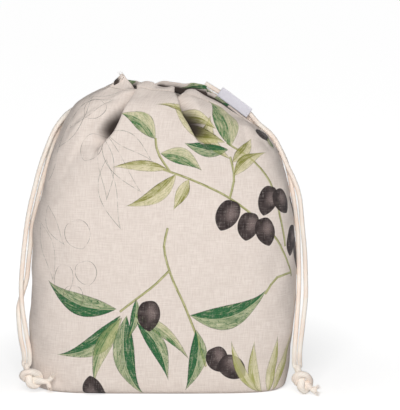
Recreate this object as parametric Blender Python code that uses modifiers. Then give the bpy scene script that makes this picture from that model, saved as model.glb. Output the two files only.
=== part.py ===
"""Drawstring bread bag of printed linen, standing on its flat base with its mouth pulled half shut.

Two panels meet in a seam down each side and along the middle of the base.  The hem at the top is a
channel for two cotton drawcords, whose four ends hang down the sides in pairs and are knotted.
All sizes are real, in metres, with +Z up.  The floor is z = 0, the front of the bag faces -Y and
the origin is under the middle of the base.
"""

import bpy
import bmesh
import numpy as np
from mathutils import Vector
from mathutils.geometry import interpolate_bezier

MM = 0.001

# ---------------------------------------------------------------- driving dimensions (mm)
CLOTH_THICKNESS = 1.2
HEM_THICKNESS = 2.2          # cloth turned in double round the cord
HEM_HEIGHT = 16.0            # height of the channel, measured down from the hem's edge
HEM_RAMP = 6.0               # height over which the hem reaches its full thickness
SEAM_GAP = 0.3               # between the two panels along every seam
CORD_DIAMETER = 4.6
CORD_STEP = 11.0             # spacing of the points along a cord
KNOT_CORD_DIAMETER = 5.8     # the two ends of a pair, tied as one
LABEL_SIZE = (36.5, 1.0, 10.5)  # long, thick, high
LABEL_CENTRE = (71.2, 6.9, 280.6)
LABEL_TURN = (-10.7, 36.0)      # degrees: swung back about Z, then tipped down along the hem
FOLD_INSIDE_WIDTH = 4.0      # how fast a pleat's floor climbs back to the overlapping side
FOLD_SETBACK = 5.0           # from the overlapping edge to the pleat's floor, along the cloth

# Sections of the bag, a row each, from the ring where it meets the floor up to the hem.
# run: way up the cloth; left/right: where the side seams are; front/back: how deep the section
# is; square: 2 is an ellipse and more is boxier; crowns: how much each panel's middle is higher.
SECTION_COLUMNS = ("run", "left_x", "left_z", "right_x", "right_z", "front_y", "back_y", "square",
                   "front_crown", "back_crown")
SECTIONS = (
    (0.0, -119.0, 0.0, 117.0, 0.0, -50.0, 50.0, 4.2, 0.0, 0.0),
    (6.0, -126.5, 3.0, 121.5, 3.0, -55.5, 55.0, 3.9, 0.0, 0.0),
    (15.0, -130.5, 11.0, 123.5, 11.0, -59.0, 58.5, 3.6, 0.0, 0.0),
    (30.0, -132.5, 26.0, 125.0, 26.0, -60.5, 60.5, 3.4, 0.0, 0.0),
    (66.0, -132.3, 62.0, 130.0, 62.0, -62.5, 62.0, 3.2, 0.0, 0.0),
    (106.0, -129.5, 102.0, 132.3, 102.0, -62.5, 62.0, 3.1, 0.0, 0.0),
    (157.0, -127.8, 152.0, 130.8, 151.0, -60.0, 60.0, 3.0, 0.0, 0.0),
    (201.0, -118.5, 194.0, 126.0, 190.0, -56.0, 56.5, 2.9, 1.0, 1.0),
    (250.0, -106.0, 239.0, 115.8, 228.5, -47.5, 48.0, 2.7, 3.5, 3.5),
    (290.0, -86.0, 278.5, 107.3, 244.5, -34.0, 32.5, 2.5, 4.5, 3.0),
    (314.0, -62.0, 294.0, 98.8, 253.0, -22.0, 19.5, 2.4, 2.5, -2.0),
    (334.0, -43.5, 301.5, 88.5, 257.8, -13.5, 13.5, 2.4, 3.0, 3.0),
)
HEM_RUN = SECTIONS[-1][0]
HEM_BLEND = 34.0             # run over which the hem's own edge line fades into the sections

# Height of the hem's edge across the mouth, for each panel.
FRONT_HEM_EDGE = ((-43.5, 301.5), (-40.5, 305.5), (-38.0, 310.0), (-35.0, 306.0), (-31.0, 302.0),
                  (-26.5, 298.2), (-23.0, 299.5), (-19.0, 302.4), (-14.5, 303.4), (-9.0, 302.6),
                  (-3.0, 298.8), (4.0, 297.6), (10.0, 298.4), (19.0, 294.5), (25.0, 295.8),
                  (31.0, 295.6), (37.0, 293.2), (46.0, 288.6), (57.0, 282.6), (67.0, 276.4),
                  (73.0, 272.2), (79.5, 266.8), (85.0, 261.8), (88.5, 257.8))
BACK_HEM_EDGE = ((-43.5, 301.5), (-38.5, 304.6), (-33.0, 304.8), (-27.0, 303.8), (-21.5, 301.4),
                 (-10.0, 300.5), (3.0, 303.2), (13.0, 301.0), (25.0, 300.6), (36.0, 300.0),
                 (43.5, 297.5), (46.0, 293.0), (50.0, 290.2), (60.0, 283.8), (72.0, 274.6),
                 (83.0, 264.4), (88.5, 257.8))

# Pleats, each a valley whose one side overlaps it.  side: +1 where the overlapping cloth is to the
# right of the valley, -1 to the left.  Rows: height, x of the overlapping edge, depth of the
# valley, width of its open side, and how far its floor slips under the overlapping edge.
FOLD_COLUMNS = ("z", "edge_x", "depth", "width", "lean")
LEFT_PLEAT = {"side": 1, "rows": (
    (303.0, -20.0, 2.5, 4.5, 3.5),
    (295.0, -27.0, 4.0, 5.0, 5.0),
    (288.0, -33.0, 10.0, 6.0, 8.0),
    (275.0, -40.5, 23.0, 7.0, 12.5),
    (264.0, -45.5, 33.0, 7.5, 15.0),
    (255.0, -50.0, 29.0, 8.5, 12.0),
    (247.0, -56.0, 14.0, 9.0, 6.0),
    (239.0, -61.0, 4.0, 8.0, 1.0),
    (228.0, -64.0, 0.0, 8.0, 0.0),
)}
RIGHT_PLEAT = {"side": -1, "rows": (
    (301.0, 12.0, 4.5, 5.0, 5.0),
    (293.0, 14.3, 6.5, 5.0, 6.5),
    (283.0, 18.8, 15.0, 6.0, 9.0),
    (275.0, 22.0, 23.0, 7.5, 11.5),
    (266.0, 26.0, 29.0, 9.0, 13.0),
    (258.0, 30.3, 26.0, 11.0, 11.0),
    (251.0, 34.0, 14.0, 13.5, 6.0),
    (244.0, 39.0, 4.0, 16.0, 1.0),
    (236.0, 45.0, 0.0, 16.0, 0.0),
)}
FRONT_PLEATS = (LEFT_PLEAT, RIGHT_PLEAT)

# Soft radiating gathers: x at the hem, x and z where they have faded, depth and width.
GATHER_COLUMNS = ("hem_x", "low_x", "low_z", "depth", "width")
FRONT_GATHERS = (
    (-41.0, -88.0, 226.0, 3.0, 8.0),
    (-8.0, -14.0, 232.0, 1.8, 9.0),
    (44.0, 66.0, 214.0, 3.2, 10.0),
    (66.0, 96.0, 208.0, 3.4, 9.0),
)
BACK_GATHERS = (
    (-30.0, -82.0, 218.0, 6.5, 7.0),
    (-13.0, -44.0, 206.0, 7.5, 7.0),
    (5.0, -10.0, 214.0, 6.5, 7.0),
    (22.0, 26.0, 202.0, 7.5, 7.0),
    (38.0, 62.0, 210.0, 6.0, 7.0),
    (62.0, 100.0, 206.0, 2.4, 9.0),
)
GATHER_FULL = 26.0           # a gather is deepest this far below the hem
GATHER_HEM_SHARE = 0.55      # share of that depth at the hem itself
GATHER_LOW_SPREAD = 1.6      # how much wider a gather is where it has faded
SEAM_STIFF = 9.0             # width beside a side seam over which folds die out

# Routes of the four free ends, from the channel's end to the knot, points chosen by hand (mm).
CORD_ROUTES = {
    "cord_left_front": (
        (-46.6, 12.0, 299.1), (-50.9, 17.4, 292.7), (-57.5, 21.5, 288.0), (-66.2, 22.9, 284.4),
        (-76.4, 22.1, 279.6), (-87.1, 19.5, 273.6), (-93.3, 13.4, 269.8), (-97.5, 8.5, 265.9),
        (-103.4, 6.2, 258.5), (-108.5, 4.5, 249.5), (-115.8, 1.5, 231.5), (-121.5, 0.0, 215.0),
        (-126.0, -2.0, 198.0), (-130.5, -4.0, 180.0), (-134.0, -6.0, 161.0), (-136.5, -9.0, 141.0),
        (-138.5, -11.0, 121.0), (-139.8, -13.0, 101.0), (-139.0, -15.0, 81.0), (-136.2, -18.0, 62.0),
        (-133.2, -25.3, 49.0), (-130.8, -32.6, 39.2), (-130.0, -39.3, 32.8), (-130.0, -45.7, 28.7)),
    "cord_left_back": (
        (-45.4, 17.1, 291.8), (-50.4, 23.9, 285.7), (-57.5, 28.2, 281.5), (-66.0, 29.0, 276.8),
        (-76.0, 28.4, 271.0), (-86.3, 25.4, 265.3), (-95.3, 20.4, 261.3), (-102.1, 14.6, 254.2),
        (-106.7, 10.6, 244.4), (-111.9, 8.4, 229.6), (-116.5, 6.5, 213.0), (-121.6, 5.0, 195.0),
        (-125.6, 4.0, 178.0), (-129.7, 2.0, 160.0), (-131.1, -1.0, 141.0), (-133.2, -4.5, 121.0),
        (-134.8, -6.5, 106.0), (-139.0, -8.5, 92.0), (-142.8, -11.5, 78.0), (-141.8, -16.5, 61.5),
        (-139.6, -24.5, 49.0), (-136.6, -32.6, 39.2), (-135.2, -39.3, 32.7), (-135.2, -45.9, 28.5)),
    "cord_right_front": (
        (42.5, 16.5, 298.5), (48.5, 14.8, 294.8), (56.0, 14.4, 290.3), (66.0, 13.8, 284.5),
        (76.0, 11.5, 278.4), (82.0, 10.0, 273.3), (86.8, 9.0, 268.7), (91.2, 8.0, 263.5),
        (95.6, 7.0, 258.9), (100.5, 6.0, 255.0), (104.9, 5.2, 251.4), (109.8, 4.4, 245.8),
        (113.3, 3.6, 240.2), (116.7, 2.6, 233.3), (120.2, 1.5, 225.2), (124.0, 0.8, 216.6),
        (129.2, 0.0, 206.0), (133.6, -1.5, 194.5), (135.8, -3.5, 184.5), (136.8, -5.5, 174.6),
        (138.6, -8.5, 155.0), (140.4, -11.0, 135.0), (141.3, -14.5, 110.0), (141.3, -17.5, 90.0),
        (138.6, -24.0, 66.0), (136.4, -31.5, 50.5), (134.9, -38.5, 39.2), (134.5, -44.7, 32.1),
        (134.5, -51.2, 28.0)),
    "cord_right_back": (
        (42.5, 21.5, 292.0), (49.0, 20.5, 287.5), (57.0, 20.0, 283.0), (67.0, 19.0, 277.5),
        (76.0, 17.0, 271.8), (83.5, 14.6, 266.6), (90.0, 13.8, 261.6), (96.5, 13.6, 256.6),
        (103.2, 13.5, 250.8), (109.0, 12.9, 244.7), (114.1, 11.6, 237.8), (118.3, 10.1, 230.4),
        (122.1, 8.2, 221.6), (125.1, 6.0, 211.0), (127.8, 3.8, 197.0), (130.0, 1.5, 184.0),
        (131.8, -0.5, 170.0), (133.8, -4.0, 151.0), (134.6, -7.0, 130.0), (135.0, -10.0, 110.0),
        (134.5, -13.0, 90.0), (132.6, -20.0, 66.0), (130.9, -29.0, 50.5), (129.6, -38.0, 39.0),
        (129.3, -44.7, 32.1), (129.3, -51.5, 27.8)),
}

# Overhand knots, tied tight: in from above, once round and through itself, out along the tail.
KNOT_STEP = 2.9
KNOT_ROUTES = {
    "knot_left": (
        (-132.6, -46.6, 28.0), (-132.2, -49.7, 25.1), (-130.6, -51.7, 21.8), (-129.5, -54.3, 18.6),
        (-129.6, -56.4, 15.0), (-128.7, -56.0, 11.0), (-126.2, -53.7, 8.5), (-123.0, -51.0, 8.7),
        (-120.5, -49.2, 11.5), (-119.6, -49.2, 15.6), (-120.7, -51.1, 19.1), (-123.0, -54.0, 21.4),
        (-125.8, -56.7, 23.1), (-129.7, -58.1, 23.6), (-133.6, -57.5, 22.1), (-135.6, -55.3, 19.2),
        (-134.9, -52.6, 16.1), (-131.8, -50.6, 14.1), (-127.6, -50.6, 14.0), (-124.3, -53.1, 14.4),
        (-120.8, -55.3, 14.0), (-116.6, -56.3, 13.7), (-112.4, -56.8, 13.2), (-108.2, -57.0, 12.6)),
    "knot_right": (
        (131.9, -52.0, 27.4), (132.3, -55.0, 24.5), (134.0, -56.4, 20.8), (135.4, -58.4, 17.4),
        (135.2, -61.4, 14.5), (134.7, -62.2, 10.5), (135.7, -60.6, 6.8), (138.2, -57.7, 5.1),
        (141.2, -54.9, 6.2), (143.4, -53.8, 9.5), (144.0, -54.8, 13.5), (142.9, -57.3, 16.8),
        (141.1, -60.0, 19.6), (138.1, -62.1, 21.5), (134.0, -62.8, 21.5), (130.5, -61.6, 19.4),
        (129.4, -59.3, 16.2), (131.1, -57.0, 13.1), (134.8, -56.0, 11.4), (138.6, -57.5, 11.3),
        (141.8, -59.8, 9.9), (145.0, -60.6, 7.2), (148.2, -61.0, 4.4)),
}

# Where the cloth has rows of points: fractions across the half base, then runs up the wall.
BASE_SHARES = (0.0, 0.4, 0.75)
BASE_TUCK = 0.03             # how much narrower the base's middle seam is than its outline
FRONT_RUNS = (0.0, 3.0, 7.0, 12.0, 20.0, 36.0, 62.0, 92.0, 124.0, 157.0, 182.0, 201.0, 214.0, 225.0,
              235.0, 244.0, 252.5, 261.0, 269.5, 278.0, 286.5, 295.0, 303.0, 310.0, 317.0, 323.0,
              328.5, 334.0)
BACK_RUNS = (0.0, 3.0, 7.0, 12.0, 20.0, 36.0, 62.0, 96.0, 130.0, 160.0, 186.0, 206.0, 222.0, 238.0,
             254.0, 268.0, 281.0, 293.0, 304.0, 314.0, 322.0, 328.0, 334.0)
BACK_COLUMNS = 36
FRONT_STRETCHES = (8, 7, 11)  # columns left of, between and right of the pleats
PLEAT_OPEN_COLUMNS = (1.7, 1.05, 0.5, 0.0)
PLEAT_INSIDE_COLUMNS = (0.45, 0.95, 1.5, 2.3)
DENSE = 240                   # points on a section while places on it are looked up


# ---------------------------------------------------------------- smooth tables
def smooth(knots, values, at):
    """Read a smooth curve through a table, with no overshoot between its rows."""
    knots = np.asarray(knots, float)
    values = np.asarray(values, float)
    at = np.clip(np.asarray(at, float), knots[0], knots[-1])
    step = np.diff(knots)
    rise = np.diff(values) / step
    slope = np.zeros(len(knots))
    slope[0] = rise[0]
    slope[-1] = rise[-1]
    for i in range(1, len(knots) - 1):
        if rise[i - 1] * rise[i] > 0.0:
            before = 2.0 * step[i] + step[i - 1]
            after = step[i] + 2.0 * step[i - 1]
            slope[i] = (before + after) / (before / rise[i - 1] + after / rise[i])
    i = np.clip(np.searchsorted(knots, at, side="right") - 1, 0, len(knots) - 2)
    h = step[i]
    t = (at - knots[i]) / h
    start = (1.0 + 2.0 * t) * (1.0 - t) ** 2 * values[i] + t * (1.0 - t) ** 2 * h * slope[i]
    end = t * t * (3.0 - 2.0 * t) * values[i + 1] + t * t * (t - 1.0) * h * slope[i + 1]
    return start + end


def section_at(run):
    """Every size of the section at this way up the cloth, by name."""
    runs = [row[0] for row in SECTIONS]
    sizes = {}
    for column, name in enumerate(SECTION_COLUMNS):
        sizes[name] = float(smooth(runs, [row[column] for row in SECTIONS], run))
    return sizes


# ---------------------------------------------------------------- the cloth before it is folded
def base_section(run, front):
    """Points across one panel at this run, from the left seam to the right one."""
    size = section_at(run)
    middle = (size["left_x"] + size["right_x"]) / 2.0
    half = (size["right_x"] - size["left_x"]) / 2.0
    depth = size["front_y"] if front else size["back_y"]
    angle = np.linspace(0.0, np.pi, DENSE)
    power = 2.0 / size["square"]
    across = -np.sign(np.cos(angle)) * np.abs(np.cos(angle)) ** power
    x = middle + half * across
    y = depth * np.abs(np.sin(angle)) ** power
    share = (x - size["left_x"]) / (2.0 * half)
    z = size["left_z"] + (size["right_z"] - size["left_z"]) * share ** 3
    crown = "front_crown" if front else "back_crown"
    z = z + size[crown] * (1.0 - across ** 2)
    near_hem = np.clip((run - (HEM_RUN - HEM_BLEND)) / HEM_BLEND, 0.0, 1.0) ** 2
    if near_hem > 0.0:
        edge = FRONT_HEM_EDGE if front else BACK_HEM_EDGE
        top = section_at(HEM_RUN)
        top_half = (top["right_x"] - top["left_x"]) / 2.0
        top_x = (top["left_x"] + top["right_x"]) / 2.0 + top_half * across
        plain = top["left_z"] + (top["right_z"] - top["left_z"]) * ((across + 1.0) / 2.0) ** 3
        plain = plain + top[crown] * (1.0 - across ** 2)
        wanted = smooth([p[0] for p in edge], [p[1] for p in edge], top_x)
        z = z + near_hem * (wanted - plain)
    return np.stack((x, y, z), axis=1)


def along(points):
    """Distance along a row of points, from its first one."""
    return np.concatenate(((0.0,), np.cumsum(np.linalg.norm(np.diff(points, axis=0), axis=1))))


def pleat_sizes(pleat, z):
    """The pleat's sizes at these heights, by name."""
    rows = sorted(pleat["rows"])
    heights = [row[0] for row in rows]
    return {name: smooth(heights, [row[i] for row in rows], z) for i, name in enumerate(FOLD_COLUMNS)}


def pleat_floor(pleat, points):
    """Where the floor of a pleat crosses this section, as a distance along it."""
    floor_x = pleat_sizes(pleat, points[:, 2])["edge_x"] - pleat["side"] * FOLD_SETBACK
    away = points[:, 0] - floor_x
    crossing = np.argmax(away > 0.0)
    before, after = away[crossing - 1], away[crossing]
    run = along(points)
    share = -before / (after - before)
    return run[crossing - 1] + share * (run[crossing] - run[crossing - 1])


def column_places(points, front):
    """Distances along the section of every column of points, closer together at the pleats."""
    run = along(points)
    if not front:
        return np.linspace(0.0, run[-1], BACK_COLUMNS)
    places = []
    start = 0.0
    for pleat, count in zip(FRONT_PLEATS, FRONT_STRETCHES):
        floor = pleat_floor(pleat, points)
        height = np.interp(floor, run, points[:, 2])
        width = float(pleat_sizes(pleat, height)["width"])
        open_side = [width * share for share in PLEAT_OPEN_COLUMNS]
        inside = [FOLD_INSIDE_WIDTH * share for share in PLEAT_INSIDE_COLUMNS]
        if pleat["side"] > 0:
            offsets = [-step for step in open_side] + inside
        else:
            offsets = [-step for step in reversed(inside)] + list(reversed(open_side))
        stretch = np.linspace(start, floor + offsets[0], count + 1)[:-1]
        places.extend(stretch)
        places.extend(floor + step for step in offsets)
        start = places.pop()
    places.extend(np.linspace(start, run[-1], FRONT_STRETCHES[-1] + 1))
    return np.array(places)


def base_grid(front):
    """Rows of unfolded points for one panel's wall, and the run of each row."""
    runs = FRONT_RUNS if front else BACK_RUNS
    rows = []
    for run in runs:
        points = base_section(run, front)
        distance = along(points)
        places = column_places(points, front)
        rows.append(np.stack([np.interp(places, distance, points[:, k]) for k in range(3)], axis=1))
    return np.array(rows), np.array(runs)


# ---------------------------------------------------------------- pleats and gathers
def outward(grid, front):
    """The cloth's outward direction at every point of the grid."""
    across = np.gradient(grid, axis=1)
    up = np.gradient(grid, axis=0)
    normal = np.cross(across, up)
    normal /= np.maximum(np.linalg.norm(normal, axis=2, keepdims=True), 1e-9)
    return normal if front else -normal


def fold(grid, runs, front):
    """Push the pleats and the gathers into the wall of one panel."""
    normal = outward(grid, front)
    across = np.gradient(grid, axis=1)
    across /= np.maximum(np.linalg.norm(across, axis=2, keepdims=True), 1e-9)
    inward = np.zeros(grid.shape[:2])
    sideways = np.zeros(grid.shape[:2])
    x, z = grid[:, :, 0], grid[:, :, 2]
    distance = np.array([along(row) for row in grid])
    for pleat in FRONT_PLEATS if front else ():
        for row in range(len(grid)):
            floor = pleat_floor(pleat, grid[row])
            height = np.interp(floor, distance[row], z[row])
            size = pleat_sizes(pleat, height)
            away = (distance[row] - floor) * pleat["side"]
            width = np.where(away < 0.0, size["width"], FOLD_INSIDE_WIDTH)
            shape = np.exp(-(away / width) ** 2)
            inward[row] += size["depth"] * shape
            sideways[row] += pleat["side"] * size["lean"] * shape
    for row in FRONT_GATHERS if front else BACK_GATHERS:
        gather = dict(zip(GATHER_COLUMNS, row))
        height = np.interp(gather["hem_x"], grid[-1, :, 0], grid[-1, :, 2]) - gather["low_z"]
        rise = np.clip((z - gather["low_z"]) / height, 0.0, 1.0)
        line_x = gather["low_x"] + (gather["hem_x"] - gather["low_x"]) * rise
        spread = gather["width"] * (GATHER_LOW_SPREAD + (1.0 - GATHER_LOW_SPREAD) * rise)
        full = 1.0 - GATHER_FULL / height
        body = np.sin(np.clip(rise / full, 0.0, 1.0) * np.pi / 2.0) ** 2
        shut = 1.0 - (1.0 - GATHER_HEM_SHARE) * np.clip((rise - full) / (1.0 - full), 0.0, 1.0)
        inward += gather["depth"] * body * shut * np.exp(-((x - line_x) / spread) ** 2)
    # The side seams stay in their plane, so nothing is pushed there.
    from_seam = np.minimum(distance, distance[:, -1:] - distance)
    free = np.clip(from_seam / SEAM_STIFF, 0.0, 1.0)
    free = free * free * (3.0 - 2.0 * free)
    return grid - normal * (inward * free)[:, :, None] + across * (sideways * free)[:, :, None]


def panel_grid(front):
    """All rows of one panel: half of the base, out from its seam, and then the wall."""
    wall, runs = base_grid(front)
    wall = fold(wall, runs, front)
    half_gap = SEAM_GAP / 2.0
    side = -1.0 if front else 1.0
    wall[:, :, 1] = side * np.maximum(side * wall[:, :, 1], half_gap)
    ring = wall[0]
    middle = (ring[0, 0] + ring[-1, 0]) / 2.0
    floor_rows = []
    for share in BASE_SHARES:
        row = ring.copy()
        row[:, 0] = middle + (row[:, 0] - middle) * (1.0 - BASE_TUCK * (1.0 - share))
        row[:, 1] = side * (half_gap + share * (side * ring[:, 1] - half_gap))
        floor_rows.append(row)
    hem = np.clip((runs - (HEM_RUN - HEM_HEIGHT)) / HEM_RAMP, 0.0, 1.0)
    weight = np.concatenate((np.zeros(len(BASE_SHARES)), hem))
    return np.concatenate((np.array(floor_rows), wall)), weight


# ---------------------------------------------------------------- materials and collections
def material(name, colour, roughness, metallic=0.0):
    """A plain Principled material."""
    made = bpy.data.materials.new(name)
    made.use_nodes = True
    shader = made.node_tree.nodes["Principled BSDF"]
    shader.inputs["Base Color"].default_value = (*colour, 1.0)
    shader.inputs["Roughness"].default_value = roughness
    shader.inputs["Metallic"].default_value = metallic
    return made


def collection(name):
    """A new collection in the scene."""
    made = bpy.data.collections.new(name)
    bpy.context.scene.collection.children.link(made)
    return made


def add_object(name, data, surface, home):
    """Put a new object with this mesh or curve into its collection."""
    thing = bpy.data.objects.new(name, data)
    data.materials.append(surface)
    home.objects.link(thing)
    return thing


# ---------------------------------------------------------------- the pieces
def make_panel(name, front, surface, home):
    """One panel of cloth, its hem and its half of the base, as a sheet given its thickness."""
    rows, weights = panel_grid(front)
    mesh = bmesh.new()
    deform = mesh.verts.layers.deform.verify()
    points = [[mesh.verts.new(Vector(point) * MM) for point in row] for row in rows]
    for low, high in zip(points, points[1:]):
        for i in range(len(low) - 1):
            corners = (low[i], low[i + 1], high[i + 1], high[i])
            mesh.faces.new(corners if front else tuple(reversed(corners)))
    for row, weight in zip(points, weights):
        for vert in row:
            vert[deform][0] = float(weight)
    for face in mesh.faces:
        face.smooth = True
    data = bpy.data.meshes.new(name)
    mesh.to_mesh(data)
    mesh.free()
    panel = add_object(name, data, surface, home)
    panel.vertex_groups.new(name="hem")
    wall = panel.modifiers.new("thickness", "SOLIDIFY")
    wall.thickness = HEM_THICKNESS * MM
    wall.offset = -1.0
    wall.vertex_group = "hem"
    wall.thickness_vertex_group = CLOTH_THICKNESS / HEM_THICKNESS
    return panel


def smooth_route(route, step):
    """Evenly spaced points along a smooth curve through the route's own points."""
    knots = [Vector(point) for point in route]
    before = [knots[0] * 2.0 - knots[1]] + knots
    after = knots + [knots[-1] * 2.0 - knots[-2]]
    dense = []
    for i in range(len(knots) - 1):
        gap = (knots[i + 1] - knots[i]).length
        leave = (knots[i + 1] - before[i]).normalized() * gap / 3.0
        arrive = (after[i + 2] - knots[i]).normalized() * gap / 3.0
        piece = interpolate_bezier(knots[i], knots[i] + leave, knots[i + 1] - arrive, knots[i + 1], 24)
        dense.extend(piece[:-1] if i < len(knots) - 2 else piece)
    dense = np.array(dense)
    distance = along(dense)
    count = max(2, int(round(distance[-1] / step)) + 1)
    places = np.linspace(0.0, distance[-1], count)
    return np.stack([np.interp(places, distance, dense[:, k]) for k in range(3)], axis=1)


def make_cord(name, route, diameter, step, surface, home):
    """A length of round cord along its route."""
    points = smooth_route(route, step)
    curve = bpy.data.curves.new(name, "CURVE")
    curve.dimensions = "3D"
    curve.bevel_depth = diameter / 2.0 * MM
    curve.bevel_resolution = 2
    curve.use_fill_caps = True
    line = curve.splines.new("POLY")
    line.points.add(len(points) - 1)
    for spot, point in zip(line.points, points):
        spot.co = (*(Vector(point) * MM), 1.0)
    return add_object(name, curve, surface, home)


def make_label(name, surface, home):
    """The blank woven label, sewn along its lower edge to the inside of the back hem."""
    mesh = bmesh.new()
    bmesh.ops.create_cube(mesh, size=1.0)
    bmesh.ops.scale(mesh, vec=Vector(LABEL_SIZE) * MM, verts=mesh.verts)
    data = bpy.data.meshes.new(name)
    mesh.to_mesh(data)
    mesh.free()
    label = add_object(name, data, surface, home)
    label.location = Vector(LABEL_CENTRE) * MM
    swing, tip = LABEL_TURN
    label.rotation_euler = (0.0, np.radians(tip), np.radians(swing))
    return label


def clear_scene():
    """Remove whatever is in the scene."""
    for thing in list(bpy.data.objects):
        bpy.data.objects.remove(thing)


def main():
    """Build every piece of the bag."""
    clear_scene()
    home = collection("linen_bread_bag")
    linen = material("linen", (0.72, 0.64, 0.57), 0.9)
    make_panel("panel_front", True, linen, home)
    linen_back = material("linen_back", (0.70, 0.62, 0.55), 0.9)
    make_panel("panel_back", False, linen_back, home)
    cotton = material("cotton_cord", (0.82, 0.74, 0.66), 0.85)
    for name, route in CORD_ROUTES.items():
        make_cord(name, route, CORD_DIAMETER, CORD_STEP, cotton, home)
    for name, route in KNOT_ROUTES.items():
        make_cord(name, route, KNOT_CORD_DIAMETER, KNOT_STEP, cotton, home)
    make_label("label", material("label", (0.86, 0.84, 0.86), 0.7), home)


main()
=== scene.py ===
# %% [markdown]
# # A drawstring bread bag of printed linen
#
# This notebook dresses a finished plain model of the bag. The plain model, the frame, already has the
# real sizes and the collision shapes, so everything here is measured in the same metres: +Z is up, the
# printed front faces -Y and the floor is z = 0. We replace each plain solid with a piece that looks like
# what a maker would hold: thin cloth with folds and a sewn channel, twisted cotton cord, real knots.

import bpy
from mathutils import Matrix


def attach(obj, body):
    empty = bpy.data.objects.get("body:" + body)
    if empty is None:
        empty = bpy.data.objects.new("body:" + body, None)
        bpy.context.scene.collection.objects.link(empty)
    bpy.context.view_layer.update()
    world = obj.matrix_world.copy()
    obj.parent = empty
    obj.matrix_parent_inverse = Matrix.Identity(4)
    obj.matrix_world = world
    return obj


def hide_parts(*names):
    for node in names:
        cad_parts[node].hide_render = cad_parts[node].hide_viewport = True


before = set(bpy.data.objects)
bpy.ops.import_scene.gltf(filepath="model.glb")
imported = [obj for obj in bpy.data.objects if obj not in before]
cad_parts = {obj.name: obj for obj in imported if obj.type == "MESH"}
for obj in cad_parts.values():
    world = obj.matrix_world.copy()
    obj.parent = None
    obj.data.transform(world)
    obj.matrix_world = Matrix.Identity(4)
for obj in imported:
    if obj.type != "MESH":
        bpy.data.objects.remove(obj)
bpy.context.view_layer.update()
print("nodes:", sorted(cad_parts))

# %% [markdown]
# ## Sizes and small helpers
#
# Sewing patterns are drawn in millimetres, so the tables below are in millimetres too, and points turn
# into metres only when a mesh is made. `smooth` reads a curve through a table without overshoot,
# `along` measures the distance from the first point of a line, like a tape laid on the cloth, and `bell`
# is the section of a soft fold.

# %% Helpers for lines and tables
import math

import bpy
import numpy as np
from mathutils import Matrix, Quaternion, Vector
from mathutils.geometry import interpolate_bezier

MM = 0.001


def along(points):
    return np.concatenate(((0.0,), np.cumsum(np.linalg.norm(np.diff(points, axis=0), axis=1))))


def smooth(knots, values, at):
    knots = np.asarray(knots, float)
    values = np.asarray(values, float)
    at = np.clip(np.asarray(at, float), knots[0], knots[-1])
    step = np.diff(knots)
    rise = np.diff(values) / step
    slope = np.zeros(len(knots))
    slope[0] = rise[0]
    slope[-1] = rise[-1]
    for i in range(1, len(knots) - 1):
        if rise[i - 1] * rise[i] > 0.0:
            before = 2.0 * step[i] + step[i - 1]
            after = step[i] + 2.0 * step[i - 1]
            slope[i] = (before + after) / (before / rise[i - 1] + after / rise[i])
    i = np.clip(np.searchsorted(knots, at, side="right") - 1, 0, len(knots) - 2)
    h = step[i]
    t = (at - knots[i]) / h
    start = (1.0 + 2.0 * t) * (1.0 - t) ** 2 * values[i] + t * (1.0 - t) ** 2 * h * slope[i]
    end = t * t * (3.0 - 2.0 * t) * values[i + 1] + t * t * (t - 1.0) * h * slope[i + 1]
    return start + end


def bell(away, width):
    """1 at the middle of a fold, and next to nothing at twice its width."""
    return np.exp(-(away / width) ** 2)


print("one bag, drawn in millimetres")


# %% A smooth route through points
POINTS_A_PIECE = 24


def smooth_route(route, step):
    """Evenly spaced points on a smooth curve through the route's points."""
    knots = [Vector(point) for point in route]
    before = [knots[0] * 2.0 - knots[1]] + knots
    after = knots + [knots[-1] * 2.0 - knots[-2]]
    dense = []
    for i in range(len(knots) - 1):
        gap = (knots[i + 1] - knots[i]).length
        leave = (knots[i + 1] - before[i]).normalized() * gap / 3.0
        arrive = (after[i + 2] - knots[i]).normalized() * gap / 3.0
        piece = interpolate_bezier(knots[i], knots[i] + leave, knots[i + 1] - arrive, knots[i + 1],
                                   POINTS_A_PIECE)
        dense.extend(piece[:-1] if i < len(knots) - 2 else piece)
    dense = np.array(dense)
    distance = along(dense)
    places = np.linspace(0.0, distance[-1], max(2, int(round(distance[-1] / step)) + 1))
    return np.stack([np.interp(places, distance, dense[:, k]) for k in range(3)], axis=1)


print("10 mm in steps of 1 mm take", len(smooth_route(((0, 0, 0), (10, 0, 0)), 1.0)), "points")


# %% Colours, meshes and objects
def colour(red, green, blue):
    """Screen colour, 0 to 255, as the linear values that shaders use."""
    parts = [c / 255.0 for c in (red, green, blue)]
    return tuple(c / 12.92 if c <= 0.04045 else ((c + 0.055) / 1.055) ** 2.4 for c in parts) + (1.0,)


def smooth_mesh(name, points, faces, uv_name, uvs):
    """A mesh with soft shading from points in millimetres, with one UV map in metres."""
    mesh = bpy.data.meshes.new(name)
    mesh.from_pydata((np.asarray(points, float) * MM).tolist(), [], faces)
    layer = mesh.uv_layers.new(name=uv_name)
    layer.data.foreach_set("uv", np.asarray(uvs, np.float32).ravel())
    mesh.polygons.foreach_set("use_smooth", [True] * len(mesh.polygons))
    mesh.update()
    return mesh


def add_object(name, mesh, *surfaces):
    thing = bpy.data.objects.new(name, mesh)
    for surface in surfaces:
        mesh.materials.append(surface)
    bpy.context.scene.collection.objects.link(thing)
    return thing


print("the middle grey of a screen is", round(colour(128, 128, 128)[0], 3), "in a shader")

# %% [markdown]
# ## The camera
#
# A product picture of a bag is taken from far away with a long lens, level with its upper half and
# tipped a few degrees down, which keeps the sides upright. We put the camera two metres away, and the
# lens is worked out from how many pixels a metre of cloth should cover.

# %% Camera
AIM = Vector((0.0370, 0.0, 0.1793))
TIP_DOWN = math.radians(7.5)
AWAY = 2.0
PIXELS_PER_METRE = 1010.0
PICTURE_HEIGHT = 410

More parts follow.
